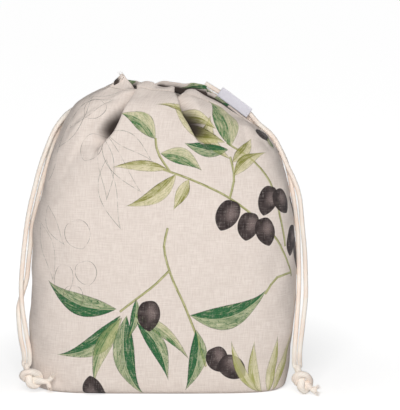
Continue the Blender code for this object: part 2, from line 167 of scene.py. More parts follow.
camera_data = bpy.data.cameras.new("camera")
camera_data.sensor_fit = "VERTICAL"
camera_data.sensor_height = 36.0
camera_data.lens = PIXELS_PER_METRE * AWAY * camera_data.sensor_height / PICTURE_HEIGHT
camera_data.clip_end = 20.0
camera = bpy.data.objects.new("camera", camera_data)
camera.location = AIM + Vector((0.0, -math.cos(TIP_DOWN), math.sin(TIP_DOWN))) * AWAY
camera.rotation_euler = (math.pi / 2.0 - TIP_DOWN, 0.0, 0.0)
bpy.context.scene.collection.objects.link(camera)
bpy.context.scene.camera = camera
print("lens", round(camera_data.lens), "mm")

# %% [markdown]
# ## Material helpers
#
# Materials are small graphs. `Graph` saves typing: it adds a node, sets its values and links what it is
# given, so that a formula for a thread or a leaf stays readable.


# %% Graph helper
class Graph:
    def __init__(self, tree):
        self.tree = tree

    def node(self, kind, inputs=None, **settings):
        made = self.tree.nodes.new(kind)
        for key, value in settings.items():
            setattr(made, key, value)
        for key, value in (inputs or {}).items():
            self.put(value, made.inputs[key])
        return made

    def put(self, value, socket):
        if isinstance(value, bpy.types.NodeSocket):
            self.tree.links.new(value, socket)
        else:
            socket.default_value = value

    def math(self, operation, *values, clamp=False):
        made = self.tree.nodes.new("ShaderNodeMath")
        made.operation = operation
        made.use_clamp = clamp
        for value, socket in zip(values, made.inputs):
            self.put(value, socket)
        return made.outputs[0]

    def plus(self, *values, **settings):
        return self.math("ADD", *values, **settings)

    def minus(self, *values, **settings):
        return self.math("SUBTRACT", *values, **settings)

    def times(self, *values, **settings):
        return self.math("MULTIPLY", *values, **settings)

    def vector(self, operation, *values):
        made = self.tree.nodes.new("ShaderNodeVectorMath")
        made.operation = operation
        for value, socket in zip(values, made.inputs):
            self.put(value, socket)
        return made.outputs[0]

    def mix(self, share, first, second, blend="MIX"):
        made = self.tree.nodes.new("ShaderNodeMix")
        made.data_type = "RGBA"
        made.blend_type = blend
        self.put(share, made.inputs[0])
        self.put(first, made.inputs[6])
        self.put(second, made.inputs[7])
        return made.outputs[2]

    def step(self, value, low, high):
        """0 below low, 1 above high, smooth between."""
        made = self.tree.nodes.new("ShaderNodeMapRange")
        made.interpolation_type = "SMOOTHSTEP"
        self.put(value, made.inputs[0])
        self.put(low, made.inputs[1])
        self.put(high, made.inputs[2])
        return made.outputs[0]

    def noise(self, where, scale, detail=2.0, roughness=0.5):
        made = self.node("ShaderNodeTexNoise", {"Vector": where, "Scale": scale, "Detail": detail,
                                                "Roughness": roughness})
        return made.outputs[0]

    def scaled(self, where, x, y, z=1.0):
        return self.vector("MULTIPLY", where, (x, y, z))

    def parts(self, vector):
        """The three numbers of a vector."""
        return tuple(self.node("ShaderNodeSeparateXYZ", {0: vector}).outputs)

    def length(self, vector):
        return self.node("ShaderNodeVectorMath", {0: vector}, operation="LENGTH").outputs[1]

    def table(self, value, rows):
        """A constant colour for each whole number 0, 1, 2 ... of value."""
        made = self.tree.nodes.new("ShaderNodeValToRGB")
        made.color_ramp.interpolation = "CONSTANT"
        while len(made.color_ramp.elements) < len(rows):
            made.color_ramp.elements.new(0.99)
        for i, row in enumerate(rows):
            made.color_ramp.elements[i].position = max(0.0, (i - 0.5) / len(rows))
            made.color_ramp.elements[i].color = row
        self.put(self.math("DIVIDE", value, float(len(rows))), made.inputs[0])
        return made.outputs[0]

    def bump(self, shader, height, strength, distance):
        made = self.node("ShaderNodeBump", {"Strength": strength, "Distance": distance, "Height": height})
        self.put(made.outputs[0], shader.inputs["Normal"])


print("graph helper ready")


# %% New materials and node groups
FLOAT, VECTOR, COLOUR = "NodeSocketFloat", "NodeSocketVector", "NodeSocketColor"


def new_material(name):
    made = bpy.data.materials.new(name)
    made.use_nodes = True
    shader = made.node_tree.nodes["Principled BSDF"]
    return made, Graph(made.node_tree), shader


def soft_finish(shader, roughness, sheen, sheen_roughness=0.5):
    """Fibre scatters light, and its loose ends catch some of it at the edges."""
    shader.inputs["Roughness"].default_value = roughness
    shader.inputs["Sheen Weight"].default_value = sheen
    shader.inputs["Sheen Roughness"].default_value = sheen_roughness


def new_group(name, inputs, outputs):
    """A shader node group with named sockets: (name, kind, default) in, (name, kind) out."""
    tree = bpy.data.node_groups.new(name, "ShaderNodeTree")
    for label, kind, default in inputs:
        socket = tree.interface.new_socket(name=label, in_out="INPUT", socket_type=kind)
        if default is not None:
            socket.default_value = default
    for label, kind in outputs:
        tree.interface.new_socket(name=label, in_out="OUTPUT", socket_type=kind)
    graph = Graph(tree)
    return tree, graph, tree.nodes.new("NodeGroupInput").outputs, tree.nodes.new("NodeGroupOutput").inputs


print("materials and node groups can be made")

# %% [markdown]
# ## Cotton cord
#
# The drawcord is soft cotton, three plies laid together with a slow twist. The outline of a cut cord is
# a rounded clover, so we sweep a three-lobed ring along the route and turn it as it goes. The sweep
# carries two numbers for the material, how far along and how far round, in an own UV map, and the
# material adds the fine yarns of each ply as a bump.


# %% Cotton material
YARN_TURNS_ALONG = 2200.0  # radians a metre of cord
YARN_TURNS_ROUND = 44.0  # radians once round the cord
BETWEEN_YARNS, GROOVE_PAINTED_SHADE = (0.2, -1.0), 0.2  # from a yarn to the groove beside it, and how much painted shade the groove gets
YARN_RELIEF = 0.5  # against 1 for the fuzz
COTTON_BUMP = (0.5, 0.0002)  # strength, and height in metres


def cotton_material():
    made, g, shader = new_material("cotton_cord")
    where = g.node("ShaderNodeTexCoord").outputs["Object"]
    along_cord, round_cord, _ = g.parts(g.node("ShaderNodeUVMap", uv_map="cord").outputs[0])
    yarn = g.math("SINE", g.plus(g.times(along_cord, YARN_TURNS_ALONG),
                                 g.times(round_cord, YARN_TURNS_ROUND)))
    fuzz = g.noise(where, 900.0, 3.0, 0.6)
    shade = g.noise(where, 60.0, 3.0)
    tone = g.mix(g.step(shade, 0.35, 0.7), colour(253, 237, 224), colour(255, 248, 238))
    # painted shade: the grooves between the yarns are painted darker
    tone = g.mix(g.times(g.step(yarn, *BETWEEN_YARNS), GROOVE_PAINTED_SHADE), tone, colour(224, 202, 182))
    g.put(tone, shader.inputs["Base Color"])
    g.bump(shader, g.plus(g.times(yarn, YARN_RELIEF), fuzz), *COTTON_BUMP)
    soft_finish(shader, 0.85, 0.3)
    return made


cotton = cotton_material()
print("material", cotton.name)


# %% Sweep a lobed ring along a route
ANY_SIDE = (0.31, 0.87, 0.39)  # no route starts in this direction
LOBE_ROUNDING = 0.8


def sweep(route, radius, lobes, lobe_depth, pitch, sides=18, taper=1.0):
    """Points in millimetres, faces and UVs (along, round) of a closed tube. taper may vary along it."""
    points = np.asarray(route, float)
    distance = along(points)
    tangent = np.gradient(points, axis=0)
    tangent /= np.linalg.norm(tangent, axis=1, keepdims=True)
    side = np.cross(tangent[0], ANY_SIDE)
    side /= np.linalg.norm(side)
    rings = []
    radii = np.full(len(points), radius) * taper
    turn = np.linspace(0.0, 2.0 * np.pi, sides, endpoint=False)
    for i, point in enumerate(points):
        side = side - tangent[i] * np.dot(side, tangent[i])
        side /= np.linalg.norm(side)
        other = np.cross(tangent[i], side)
        phase = turn - 2.0 * np.pi * distance[i] / pitch
        lobe = 1.0 - lobe_depth * (1.0 - np.abs(np.cos(phase * lobes / 2.0)) ** LOBE_ROUNDING)
        ring = point + (np.outer(np.cos(turn), side) + np.outer(np.sin(turn), other)) * (
            radii[i] * lobe)[:, None]
        rings.append(ring)
    vertices = np.concatenate(rings + [points[:1], points[-1:]])
    faces, uvs = [], []
    for i in range(len(points) - 1):
        for k in range(sides):
            n = (k + 1) % sides
            faces.append((i * sides + k, i * sides + n, (i + 1) * sides + n, (i + 1) * sides + k))
            u0, u1 = distance[i] * MM, distance[i + 1] * MM
            v0, v1 = k / sides, (k + 1) / sides
            uvs.append(((u0, v0), (u0, v1), (u1, v1), (u1, v0)))
    first, last = len(vertices) - 2, len(vertices) - 1
    start = (len(points) - 1) * sides
    for k in range(sides):
        n = (k + 1) % sides
        faces.append((first, n, k))
        uvs.append(((0.0, 0.0),) * 3)
        faces.append((last, start + k, start + n))
        uvs.append(((distance[-1] * MM, 0.0),) * 3)
    return vertices, faces, uvs


def mesh_of(name, parts):
    """One mesh from several tubes."""
    points, faces, uvs = [], [], []
    for part_points, part_faces, part_uvs in parts:
        shift = len(points)
        points.extend(part_points)
        faces.extend(tuple(i + shift for i in face) for face in part_faces)
        uvs.extend(uv for face in part_uvs for uv in face)
    return smooth_mesh(name, points, faces, "cord", uvs)


print("a short straight cord has", len(sweep(((0, 0, 0), (9, 0, 0)), 2.0, 3, 0.1, 13.0)[1]), "faces")

# %% [markdown]
# Each free end leaves the channel at a side of the mouth, runs over the shoulder, hangs down beside the
# bag and bends forward to its knot. The routes are the same as those of the plain model. The last few
# millimetres slip into the knot and get thinner, as soft cord does when it is pulled tight.

# %% The four free ends
CORD_CREST = 2.45  # from the middle to the crest of a yarn
CORD_STEP = 0.9
PLIES, PLY_GROOVE, PLY_PITCH = 3, 0.11, 13.0
SLIP_IN = 5.0  # this much of an end gets thinner as it slips into the knot
CORD_THINS_TO = 0.6
CORD_ROUTES = {
    "cord_left_front": (
        (-46.6, 12.0, 299.1), (-50.9, 17.4, 292.7), (-57.5, 21.5, 288.0), (-66.2, 22.9, 284.4),
        (-76.4, 22.1, 279.6), (-87.1, 19.5, 273.6), (-93.3, 13.4, 269.8), (-97.5, 8.5, 265.9),
        (-103.4, 6.2, 258.5), (-108.5, 4.5, 249.5), (-115.8, 1.5, 231.5), (-121.5, 0.0, 215.0),
        (-126.0, -2.0, 198.0), (-130.5, -4.0, 180.0), (-134.0, -6.0, 161.0), (-136.5, -9.0, 141.0),
        (-138.5, -11.0, 121.0), (-139.8, -13.0, 101.0), (-139.0, -15.0, 81.0), (-136.2, -18.0, 62.0),
        (-133.2, -25.3, 49.0), (-130.8, -32.6, 39.2), (-130.0, -39.3, 32.8), (-130.0, -45.7, 28.7),
        (-131.2, -49.2, 26.0)),
    "cord_left_back": (
        (-45.4, 17.1, 291.8), (-50.4, 23.9, 285.7), (-57.5, 28.2, 281.5), (-66.0, 29.0, 276.8),
        (-76.0, 28.4, 271.0), (-86.3, 25.4, 265.3), (-95.3, 20.4, 261.3), (-102.1, 14.6, 254.2),
        (-106.7, 10.6, 244.4), (-111.9, 8.4, 229.6), (-116.5, 6.5, 213.0), (-121.6, 5.0, 195.0),
        (-125.6, 4.0, 178.0), (-129.7, 2.0, 160.0), (-131.1, -1.0, 141.0), (-133.2, -4.5, 121.0),
        (-134.8, -6.5, 106.0), (-139.0, -8.5, 92.0), (-142.8, -11.5, 78.0), (-141.8, -16.5, 61.5),
        (-139.6, -24.5, 49.0), (-136.6, -32.6, 39.2), (-135.2, -39.3, 32.7), (-135.2, -45.9, 28.5),
        (-134.0, -49.2, 26.0)),
    "cord_right_front": (
        (42.5, 16.5, 298.5), (48.5, 14.8, 294.8), (56.0, 14.4, 290.3), (66.0, 13.8, 284.5),
        (76.0, 11.5, 278.4), (82.0, 10.0, 273.3), (86.8, 9.0, 268.7), (91.2, 8.0, 263.5),
        (95.6, 7.0, 258.9), (100.5, 6.0, 255.0), (104.9, 5.2, 251.4), (109.8, 4.4, 245.8),
        (113.3, 3.6, 240.2), (116.7, 2.6, 233.3), (120.2, 1.5, 225.2), (124.0, 0.8, 216.6),
        (129.2, 0.0, 206.0), (133.6, -1.5, 194.5), (135.8, -3.5, 184.5), (136.8, -5.5, 174.6),
        (138.6, -8.5, 155.0), (140.4, -11.0, 135.0), (141.3, -14.5, 110.0), (141.3, -17.5, 90.0),
        (138.6, -24.0, 66.0), (136.4, -31.5, 50.5), (134.9, -38.5, 39.2), (134.5, -44.7, 32.1),
        (134.5, -51.2, 28.0), (133.3, -54.6, 25.3)),
    "cord_right_back": (
        (42.5, 21.5, 292.0), (49.0, 20.5, 287.5), (57.0, 20.0, 283.0), (67.0, 19.0, 277.5),
        (76.0, 17.0, 271.8), (83.5, 14.6, 266.6), (90.0, 13.8, 261.6), (96.5, 13.6, 256.6),
        (103.2, 13.5, 250.8), (109.0, 12.9, 244.7), (114.1, 11.6, 237.8), (118.3, 10.1, 230.4),
        (122.1, 8.2, 221.6), (125.1, 6.0, 211.0), (127.8, 3.8, 197.0), (130.0, 1.5, 184.0),
        (131.8, -0.5, 170.0), (133.8, -4.0, 151.0), (134.6, -7.0, 130.0), (135.0, -10.0, 110.0),
        (134.5, -13.0, 90.0), (132.6, -20.0, 66.0), (130.9, -29.0, 50.5), (129.6, -38.0, 39.0),
        (129.3, -44.7, 32.1), (129.3, -51.5, 27.8), (130.5, -54.6, 25.3)),
}


def thinning(points, to):
    """1 along the cord, and less over its last millimetres, down to this share."""
    distance = along(points)
    return np.clip((distance[-1] - distance) / SLIP_IN, 0.0, 1.0) * (1.0 - to) + to


cords = {}
for name, route in CORD_ROUTES.items():
    points = smooth_route(route, CORD_STEP)
    parts = sweep(points, CORD_CREST, PLIES, PLY_GROOVE, PLY_PITCH,
                  taper=thinning(points, CORD_THINS_TO))
    cord = add_object(name + "_twisted", mesh_of(name, [parts]), cotton)
    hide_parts(name)
    cords[name] = (cord, points, along(points)[-1])
    print(name, round(cords[name][2]), "mm,", len(parts[1]), "faces")

# %% [markdown]
# ## Knots
#
# The two ends of a side are tied together once, as an overhand knot: in from above, once round, through
# and out along the tail. Tied soft cords press flat against each other, so here the ring has two lobes,
# a pair of cords, with a slow turn. The tail opens into its two cords, and each of them is frayed.

# %% Tie the knots
KNOT_CRESTS = {"knot_left": 3.5, "knot_right": 3.85}
KNOT_STEP = 0.8
KNOT_THINS_TO = 0.8
PAIR, PAIR_GROOVE, PAIR_PITCH, PAIR_SIDES = 2, 0.27, 52.0, 28
TAIL_CREST = 2.3
TAIL_STEP = 0.7
TAIL_GROOVE = 0.12
TAIL_FROM = 0.3  # a cord of the tail starts this far along the knot's last stretch
TAIL_BEND, TAIL_SWING = 0.55, 0.15  # its middle: how far out, and how far on in the knot's direction
KNOT_ROUTES = {
    "knot_left": (
        (-132.6, -46.6, 28.0), (-132.2, -49.7, 25.1), (-130.6, -51.7, 21.8), (-129.5, -54.3, 18.6),
        (-129.6, -56.4, 15.0), (-128.7, -56.0, 11.0), (-126.2, -53.7, 8.5), (-123.0, -51.0, 8.7),
        (-120.5, -49.2, 11.5), (-119.6, -49.2, 15.6), (-120.7, -51.1, 19.1), (-123.0, -54.0, 21.4),
        (-125.8, -56.7, 23.1), (-129.7, -58.1, 23.6), (-133.6, -57.5, 22.1), (-135.6, -55.3, 19.2),
        (-134.9, -52.6, 16.1), (-131.8, -50.6, 14.1), (-127.6, -50.6, 14.0), (-124.3, -53.1, 14.4),
        (-120.8, -55.3, 14.0), (-116.6, -56.3, 13.7), (-112.4, -56.8, 13.2), (-108.2, -57.0, 12.6)),
    "knot_right": (
        (131.9, -52.0, 27.4), (132.3, -55.0, 24.5), (134.0, -56.4, 20.8), (135.4, -58.4, 17.4),
        (135.2, -61.4, 14.5), (134.7, -62.2, 10.5), (135.7, -60.6, 6.8), (138.2, -57.7, 5.1),
        (141.2, -54.9, 6.2), (143.4, -53.8, 9.5), (144.0, -54.8, 13.5), (142.9, -57.3, 16.8),
        (141.1, -60.0, 19.6), (138.1, -62.1, 21.5), (134.0, -62.8, 21.5), (130.5, -61.6, 19.4),
        (129.4, -59.3, 16.2), (131.1, -57.0, 13.1), (134.8, -56.0, 11.4), (138.6, -57.5, 11.3),
        (141.8, -59.8, 9.9), (145.0, -60.6, 7.2), (148.2, -61.0, 4.4)),
}
TAILS = {  # how many points of the route are left to the tail, and where each of its two cords ends
    "knot_left": (2, ((-107.0, -58.4, 18.4), (-109.0, -60.4, 8.0))),
    "knot_right": (2, ((149.8, -60.6, 8.2), (149.4, -62.0, 3.9))),
}


def tail_strand(before, last, end):
    """The route of one cord of the tail, from inside the knot to its frayed end."""
    middle = last.lerp(Vector(end), TAIL_BEND) + (last - before) * TAIL_SWING
    return smooth_route([before.lerp(last, TAIL_FROM), last, middle, end], TAIL_STEP)


knots, tail_ends = {}, []
for name, route in KNOT_ROUTES.items():
    left_out, ends = TAILS[name]
    route = route[:len(route) - left_out + 1]
    points = smooth_route(route, KNOT_STEP)
    parts = [sweep(points, KNOT_CRESTS[name], PAIR, PAIR_GROOVE, PAIR_PITCH, PAIR_SIDES,
                   thinning(points, KNOT_THINS_TO))]
    for end in ends:
        strand = tail_strand(Vector(route[-2]), Vector(route[-1]), end)
        parts.append(sweep(strand, TAIL_CREST, PLIES, TAIL_GROOVE, PLY_PITCH))
        tail_ends.append((name, strand[-1], strand[-1] - strand[-4]))
    knots[name] = add_object(name + "_tied", mesh_of(name, parts), cotton)
    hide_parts(name)
    print(name, round(along(points)[-1]), "mm of paired cord")

# %% [markdown]
# ## Trees that repeat a thing
#
# Some things repeat along a path or on many points. Geometry Nodes make those: a tree sets one small shape
# on every point, makes the copies real and gives them their material. Both trees of this bag start and
# end in the same way, so that part is written once. The result is then kept as an ordinary mesh.


# %% Start, end and run a tree
def new_tree(name, inputs):
    """A tree that takes a mesh, some named sizes and a material."""
    tree = bpy.data.node_groups.new(name, "GeometryNodeTree")
    tree.interface.new_socket(name="Geometry", in_out="INPUT", socket_type="NodeSocketGeometry")
    for label in inputs:
        tree.interface.new_socket(name=label, in_out="INPUT", socket_type=FLOAT)
    tree.interface.new_socket(name="Material", in_out="INPUT", socket_type="NodeSocketMaterial")
    tree.interface.new_socket(name="Geometry", in_out="OUTPUT", socket_type="NodeSocketGeometry")
    g = Graph(tree)
    return tree, g, g.node("NodeGroupInput").outputs


def end_tree(g, given, placed):
    """Make the copies real, give them the material and hand them out."""
    real = g.node("GeometryNodeRealizeInstances", {0: placed.outputs[0]}).outputs[0]
    done = g.node("GeometryNodeSetMaterial", {"Geometry": real, "Material": given["Material"]})
    g.put(done.outputs[0], g.node("NodeGroupOutput").inputs[0])


def plain(thing):
    """Apply the modifiers and keep the result as an ordinary mesh."""
    bpy.context.view_layer.update()
    made = bpy.data.meshes.new_from_object(thing.evaluated_get(bpy.context.evaluated_depsgraph_get()))
    made.name = thing.name
    thing.modifiers.clear()
    thing.data = made
    return thing


def run_tree(thing, tree, **values):
    """Put the tree on the object with these inputs and keep the result as a plain mesh."""
    modifier = thing.modifiers.new("tree", "NODES")
    modifier.node_group = tree
    sockets = {item.name: item.identifier for item in tree.interface.items_tree
               if item.item_type == "SOCKET" and item.in_out == "INPUT"}
    for label, value in values.items():
        modifier[sockets[label]] = value
    return plain(thing)


print("trees can be built and run")

# %% [markdown]
# ### Frayed ends
#
# Fibres stand out where the cords were cut. One bent fibre is set on every point of a small cloud, and the
# cloud's own attributes say how each is turned and how long it is.


# %% Fibre tree
def fibre_tree():
    tree, g, given = new_tree("fibres", ("Thickness",))
    bent = g.node("GeometryNodeCurveQuadraticBezier", {
        "Resolution": 5, "Start": (0.0, 0.0, 0.0), "Middle": (0.02, 0.0, 0.6), "End": (0.22, 0.0, 1.0)})
    ring = g.node("GeometryNodeCurvePrimitiveCircle", {"Resolution": 4, "Radius": given["Thickness"]})
    hair = g.node("GeometryNodeCurveToMesh", {"Curve": bent.outputs[0], "Profile Curve": ring.outputs[0],
                                              "Fill Caps": True})
    turned = g.node("GeometryNodeInputNamedAttribute", {"Name": "turned"}, data_type="FLOAT_VECTOR")
    reach = g.node("GeometryNodeInputNamedAttribute", {"Name": "reach"}, data_type="FLOAT")
    placed = g.node("GeometryNodeInstanceOnPoints", {
        "Points": given["Geometry"], "Instance": hair.outputs[0], "Rotation": turned.outputs[0],
        "Scale": reach.outputs[0]})
    end_tree(g, given, placed)
    return tree


FIBRE_THICKNESS = 0.02  # a share of the fibre's length
fibres = fibre_tree()
random = np.random.default_rng(11)


def thread_cloud(name, hairs):
    """Points that carry the turn and the length of a hair each. hairs: (place, way, reach)."""
    cloud = bpy.data.meshes.new(name)
    cloud.from_pydata([tuple(place * MM) for place, way, reach in hairs], [], [])
    turns = []
    for place, way, reach in hairs:
        roll = Quaternion((0.0, 0.0, 1.0), random.random() * 6.3)
        turns.extend((way.to_track_quat("Z", "Y") @ roll).to_euler())
    cloud.attributes.new("turned", "FLOAT_VECTOR", "POINT").data.foreach_set("vector", turns)
    reaches = [reach * MM for place, way, reach in hairs]
    cloud.attributes.new("reach", "FLOAT", "POINT").data.foreach_set("value", reaches)
    return add_object(name, cloud)


print("tree", fibres.name, len(fibres.nodes), "nodes")


# %% Fray the ends of the cords
FIBRES_AN_END = 46
FIBRE_REACH = (1.5, 5.0)
FIBRE_SPREAD = 0.55
FIBRE_ROOTS = 0.8  # they grow out of this share of the cord's end
ABOVE_FLOOR = 0.8


def frayed_end(end, way):
    """Fibres of one cut end, which spread from the cord's own direction and stay above the floor."""
    hairs = []
    for _ in range(FIBRES_AN_END):
        aside = Vector(random.normal(size=3))
        aside = (aside - way * aside.dot(way)).normalized()
        place = Vector(end) + aside * TAIL_CREST * FIBRE_ROOTS * random.random() ** 0.5
        aim = (way + aside * random.random() * FIBRE_SPREAD).normalized()
        reach = random.uniform(*FIBRE_REACH)
        aim.z = max(aim.z, (ABOVE_FLOOR - place.z) / reach)
        hairs.append((place, aim, reach))
    return hairs


frays = []
for name in KNOT_ROUTES:
    hairs = []
    for knot, end, way in tail_ends:
        if knot == name:
            hairs.extend(frayed_end(end, Vector(way).normalized()))
    cloud = thread_cloud(name + "_frayed", hairs)
    frays.append(run_tree(cloud, fibres, Thickness=FIBRE_THICKNESS, Material=cotton))
    print(cloud.name, len(cloud.data.polygons), "faces")

# %% [markdown]
# ## The cloth before it is folded
#
# The bag's surface is lofted through a few horizontal sections: rounded boxes that get narrower and
# flatter towards the mouth. A panel is one side of it. Every point of a panel has two cloth
# coordinates, how far across the section it is and how far up the cloth, and these carry the weave and
# the print later, so that both bend with the folds.

# %% Sections of the bag
SECTION_COLUMNS = ("run", "left_x", "left_z", "right_x", "right_z", "front_y", "back_y", "square",
                   "front_crown", "back_crown")
SECTIONS = (
    (0.0, -119.0, 0.0, 117.0, 0.0, -50.0, 50.0, 4.2, 0.0, 0.0),
    (6.0, -126.5, 3.0, 121.5, 3.0, -55.5, 55.0, 3.9, 0.0, 0.0),
    (15.0, -130.5, 11.0, 123.5, 11.0, -59.0, 58.5, 3.6, 0.0, 0.0),
    (30.0, -132.5, 26.0, 125.0, 26.0, -60.5, 60.5, 3.4, 0.0, 0.0),
    (66.0, -132.3, 62.0, 130.0, 62.0, -62.5, 62.0, 3.2, 0.0, 0.0),
    (106.0, -129.5, 102.0, 132.3, 102.0, -62.5, 62.0, 3.1, 0.0, 0.0),
    (157.0, -127.8, 152.0, 130.8, 151.0, -60.0, 60.0, 3.0, 0.0, 0.0),
    (201.0, -118.5, 194.0, 126.0, 190.0, -56.0, 56.5, 2.9, 1.0, 1.0),
    (250.0, -106.0, 239.0, 115.8, 228.5, -47.5, 48.0, 2.7, 3.5, 3.5),
    (290.0, -86.0, 278.5, 107.3, 244.5, -34.0, 32.5, 2.5, 4.5, 3.0),
    (314.0, -62.0, 294.0, 98.8, 253.0, -22.0, 19.5, 2.4, 2.5, -2.0),
    (334.0, -43.5, 301.5, 88.5, 257.8, -13.5, 13.5, 2.4, 3.0, 3.0),
)
HEM_RUN = SECTIONS[-1][0]
HEM_BLEND = 34.0
FRONT_HEM_EDGE = ((-43.5, 301.5), (-40.5, 305.5), (-38.0, 310.0), (-35.0, 306.0), (-31.0, 302.0),
                  (-26.5, 298.2), (-23.0, 299.5), (-19.0, 302.4), (-14.5, 303.4), (-9.0, 302.6),
                  (-3.0, 298.8), (4.0, 297.6), (10.0, 298.4), (19.0, 294.5), (25.0, 295.8),
                  (31.0, 295.6), (37.0, 293.2), (46.0, 288.6), (57.0, 282.6), (67.0, 276.4),
                  (73.0, 272.2), (79.5, 266.8), (85.0, 261.8), (88.5, 257.8))
BACK_HEM_EDGE = ((-43.5, 301.5), (-38.5, 304.6), (-33.0, 304.8), (-27.0, 303.8), (-21.5, 301.4),
                 (-10.0, 300.5), (3.0, 303.2), (13.0, 301.0), (25.0, 300.6), (36.0, 300.0),
                 (43.5, 297.5), (46.0, 293.0), (50.0, 290.2), (60.0, 283.8), (72.0, 274.6),
                 (83.0, 264.4), (88.5, 257.8))
DENSE = 360


def section_at(run):
    runs = [row[0] for row in SECTIONS]
    return {name: float(smooth(runs, [row[i] for row in SECTIONS], run))
            for i, name in enumerate(SECTION_COLUMNS)}


def slope_and_crown(size, across, front):
    """Height across a section: down to the right, and higher at its middle."""
    share = (across + 1.0) / 2.0
    crown = size["front_crown" if front else "back_crown"]
    return size["left_z"] + (size["right_z"] - size["left_z"]) * share ** 3 + crown * (1.0 - across ** 2)


def width_of(size, across):
    return (size["left_x"] + size["right_x"]) / 2.0 + (size["right_x"] - size["left_x"]) / 2.0 * across


def base_section(run, front):
    """Points across one panel at this run, from the left seam to the right one."""
    size = section_at(run)
    angle = np.linspace(0.0, np.pi, DENSE)
    power = 2.0 / size["square"]
    across = -np.sign(np.cos(angle)) * np.abs(np.cos(angle)) ** power
    y = size["front_y" if front else "back_y"] * np.abs(np.sin(angle)) ** power
    z = slope_and_crown(size, across, front)
    near_hem = np.clip((run - (HEM_RUN - HEM_BLEND)) / HEM_BLEND, 0.0, 1.0) ** 2
    if near_hem > 0.0:
        edge = FRONT_HEM_EDGE if front else BACK_HEM_EDGE
        top = section_at(HEM_RUN)
        edge_z = smooth([p[0] for p in edge], [p[1] for p in edge], width_of(top, across))
        z = z + near_hem * (edge_z - slope_and_crown(top, across, front))
    return np.stack((width_of(size, across), y, z), axis=1)


print("cloth from the base's ring to the hem:", HEM_RUN, "mm")

# %% [markdown]
# ## Pleats and gathers
#
# Pulling the cord shut crowds the cloth into pleats. The front has two deep ones: a valley whose one
# side slips under the other. They are pushed into the wall along its inward direction, and the floor
# of each valley is moved sideways under the edge that overlaps it. Shallow gathers fan out around them.

# %% Pleat tables
FOLD_COLUMNS = ("z", "edge_x", "depth", "width", "lean")
LEFT_PLEAT = {"side": 1, "rows": (
    (303.0, -20.0, 2.5, 4.5, 3.5),
    (295.0, -27.0, 4.0, 5.0, 5.0),
    (288.0, -33.0, 10.0, 6.0, 8.0),
    (275.0, -40.5, 23.0, 7.0, 12.5),
    (264.0, -45.5, 33.0, 7.5, 15.0),
    (255.0, -50.0, 29.0, 8.5, 12.0),
    (247.0, -56.0, 14.0, 9.0, 6.0),
    (239.0, -61.0, 4.0, 8.0, 1.0),
    (228.0, -64.0, 0.0, 8.0, 0.0),
)}
RIGHT_PLEAT = {"side": -1, "rows": (
    (301.0, 12.0, 4.5, 5.0, 5.0),
    (293.0, 14.3, 6.5, 5.0, 6.5),
    (283.0, 18.8, 15.0, 6.0, 9.0),
    (275.0, 22.0, 23.0, 7.5, 11.5),
    (266.0, 26.0, 29.0, 9.0, 13.0),
    (258.0, 30.3, 26.0, 11.0, 11.0),
    (251.0, 34.0, 14.0, 13.5, 6.0),
    (244.0, 39.0, 4.0, 16.0, 1.0),
    (236.0, 45.0, 0.0, 16.0, 0.0),
)}
FRONT_PLEATS = (LEFT_PLEAT, RIGHT_PLEAT)
# gathers: x at the hem, then x and z of the low end, depth and width
FRONT_GATHERS = (
    (-41.0, -88.0, 226.0, 3.0, 8.0),
    (-8.0, -14.0, 232.0, 1.8, 9.0),
    (44.0, 66.0, 214.0, 3.2, 10.0),
    (66.0, 96.0, 208.0, 3.4, 9.0),
)
BACK_GATHERS = (
    (-30.0, -82.0, 218.0, 6.5, 7.0),
    (-13.0, -44.0, 206.0, 7.5, 7.0),
    (5.0, -10.0, 214.0, 6.5, 7.0),
    (22.0, 26.0, 202.0, 7.5, 7.0),
    (38.0, 62.0, 210.0, 6.0, 7.0),
    (62.0, 100.0, 206.0, 2.4, 9.0),
)
GATHER_FULL = 26.0  # a gather is deepest this far below the hem
GATHER_HEM_SHARE = 0.55  # what is left of it at the hem, where the channel holds it
GATHER_LOW_SPREAD = 1.6  # it is this much wider at its low end
SEAM_STIFF = 9.0  # no fold comes closer than this to a side seam
FOLD_INSIDE_WIDTH = 4.0  # the hidden side of a pleat is steep
FOLD_SETBACK = 5.0  # from a pleat's edge back to its floor
SHADE_SPREAD = 1.6  # the painted shade in a pleat is wider than the pleat
SHADE_FADES = ((240.0, 260.0), (0.35, 1.0))  # two heights, and the share of the painted shade there


def pleat_sizes(pleat, z):
    rows = sorted(pleat["rows"])
    heights = [row[0] for row in rows]
    return {name: smooth(heights, [row[i] for row in rows], z) for i, name in enumerate(FOLD_COLUMNS)}


def pleat_floor(pleat, points):
    floor_x = pleat_sizes(pleat, points[:, 2])["edge_x"] - pleat["side"] * FOLD_SETBACK
    away = points[:, 0] - floor_x
    crossing = np.argmax(away > 0.0)
    before, after = away[crossing - 1], away[crossing]
    run = along(points)
    return run[crossing - 1] - before / (after - before) * (run[crossing] - run[crossing - 1])

print("pleats at the hem's x", [pleat["rows"][0][1] for pleat in FRONT_PLEATS])


# %% Columns of the cloth, closer together at the pleats
FRONT_STRETCHES = (54, 34, 66)
OPEN_COLUMNS = (1.9, 1.6, 1.35, 1.15, 0.95, 0.8, 0.65, 0.5, 0.36, 0.24, 0.12, 0.0)
INSIDE_COLUMNS = (0.18, 0.36, 0.54, 0.72, 0.9, 1.1, 1.3, 1.55, 1.85, 2.2, 2.7)
BACK_COLUMNS = 150


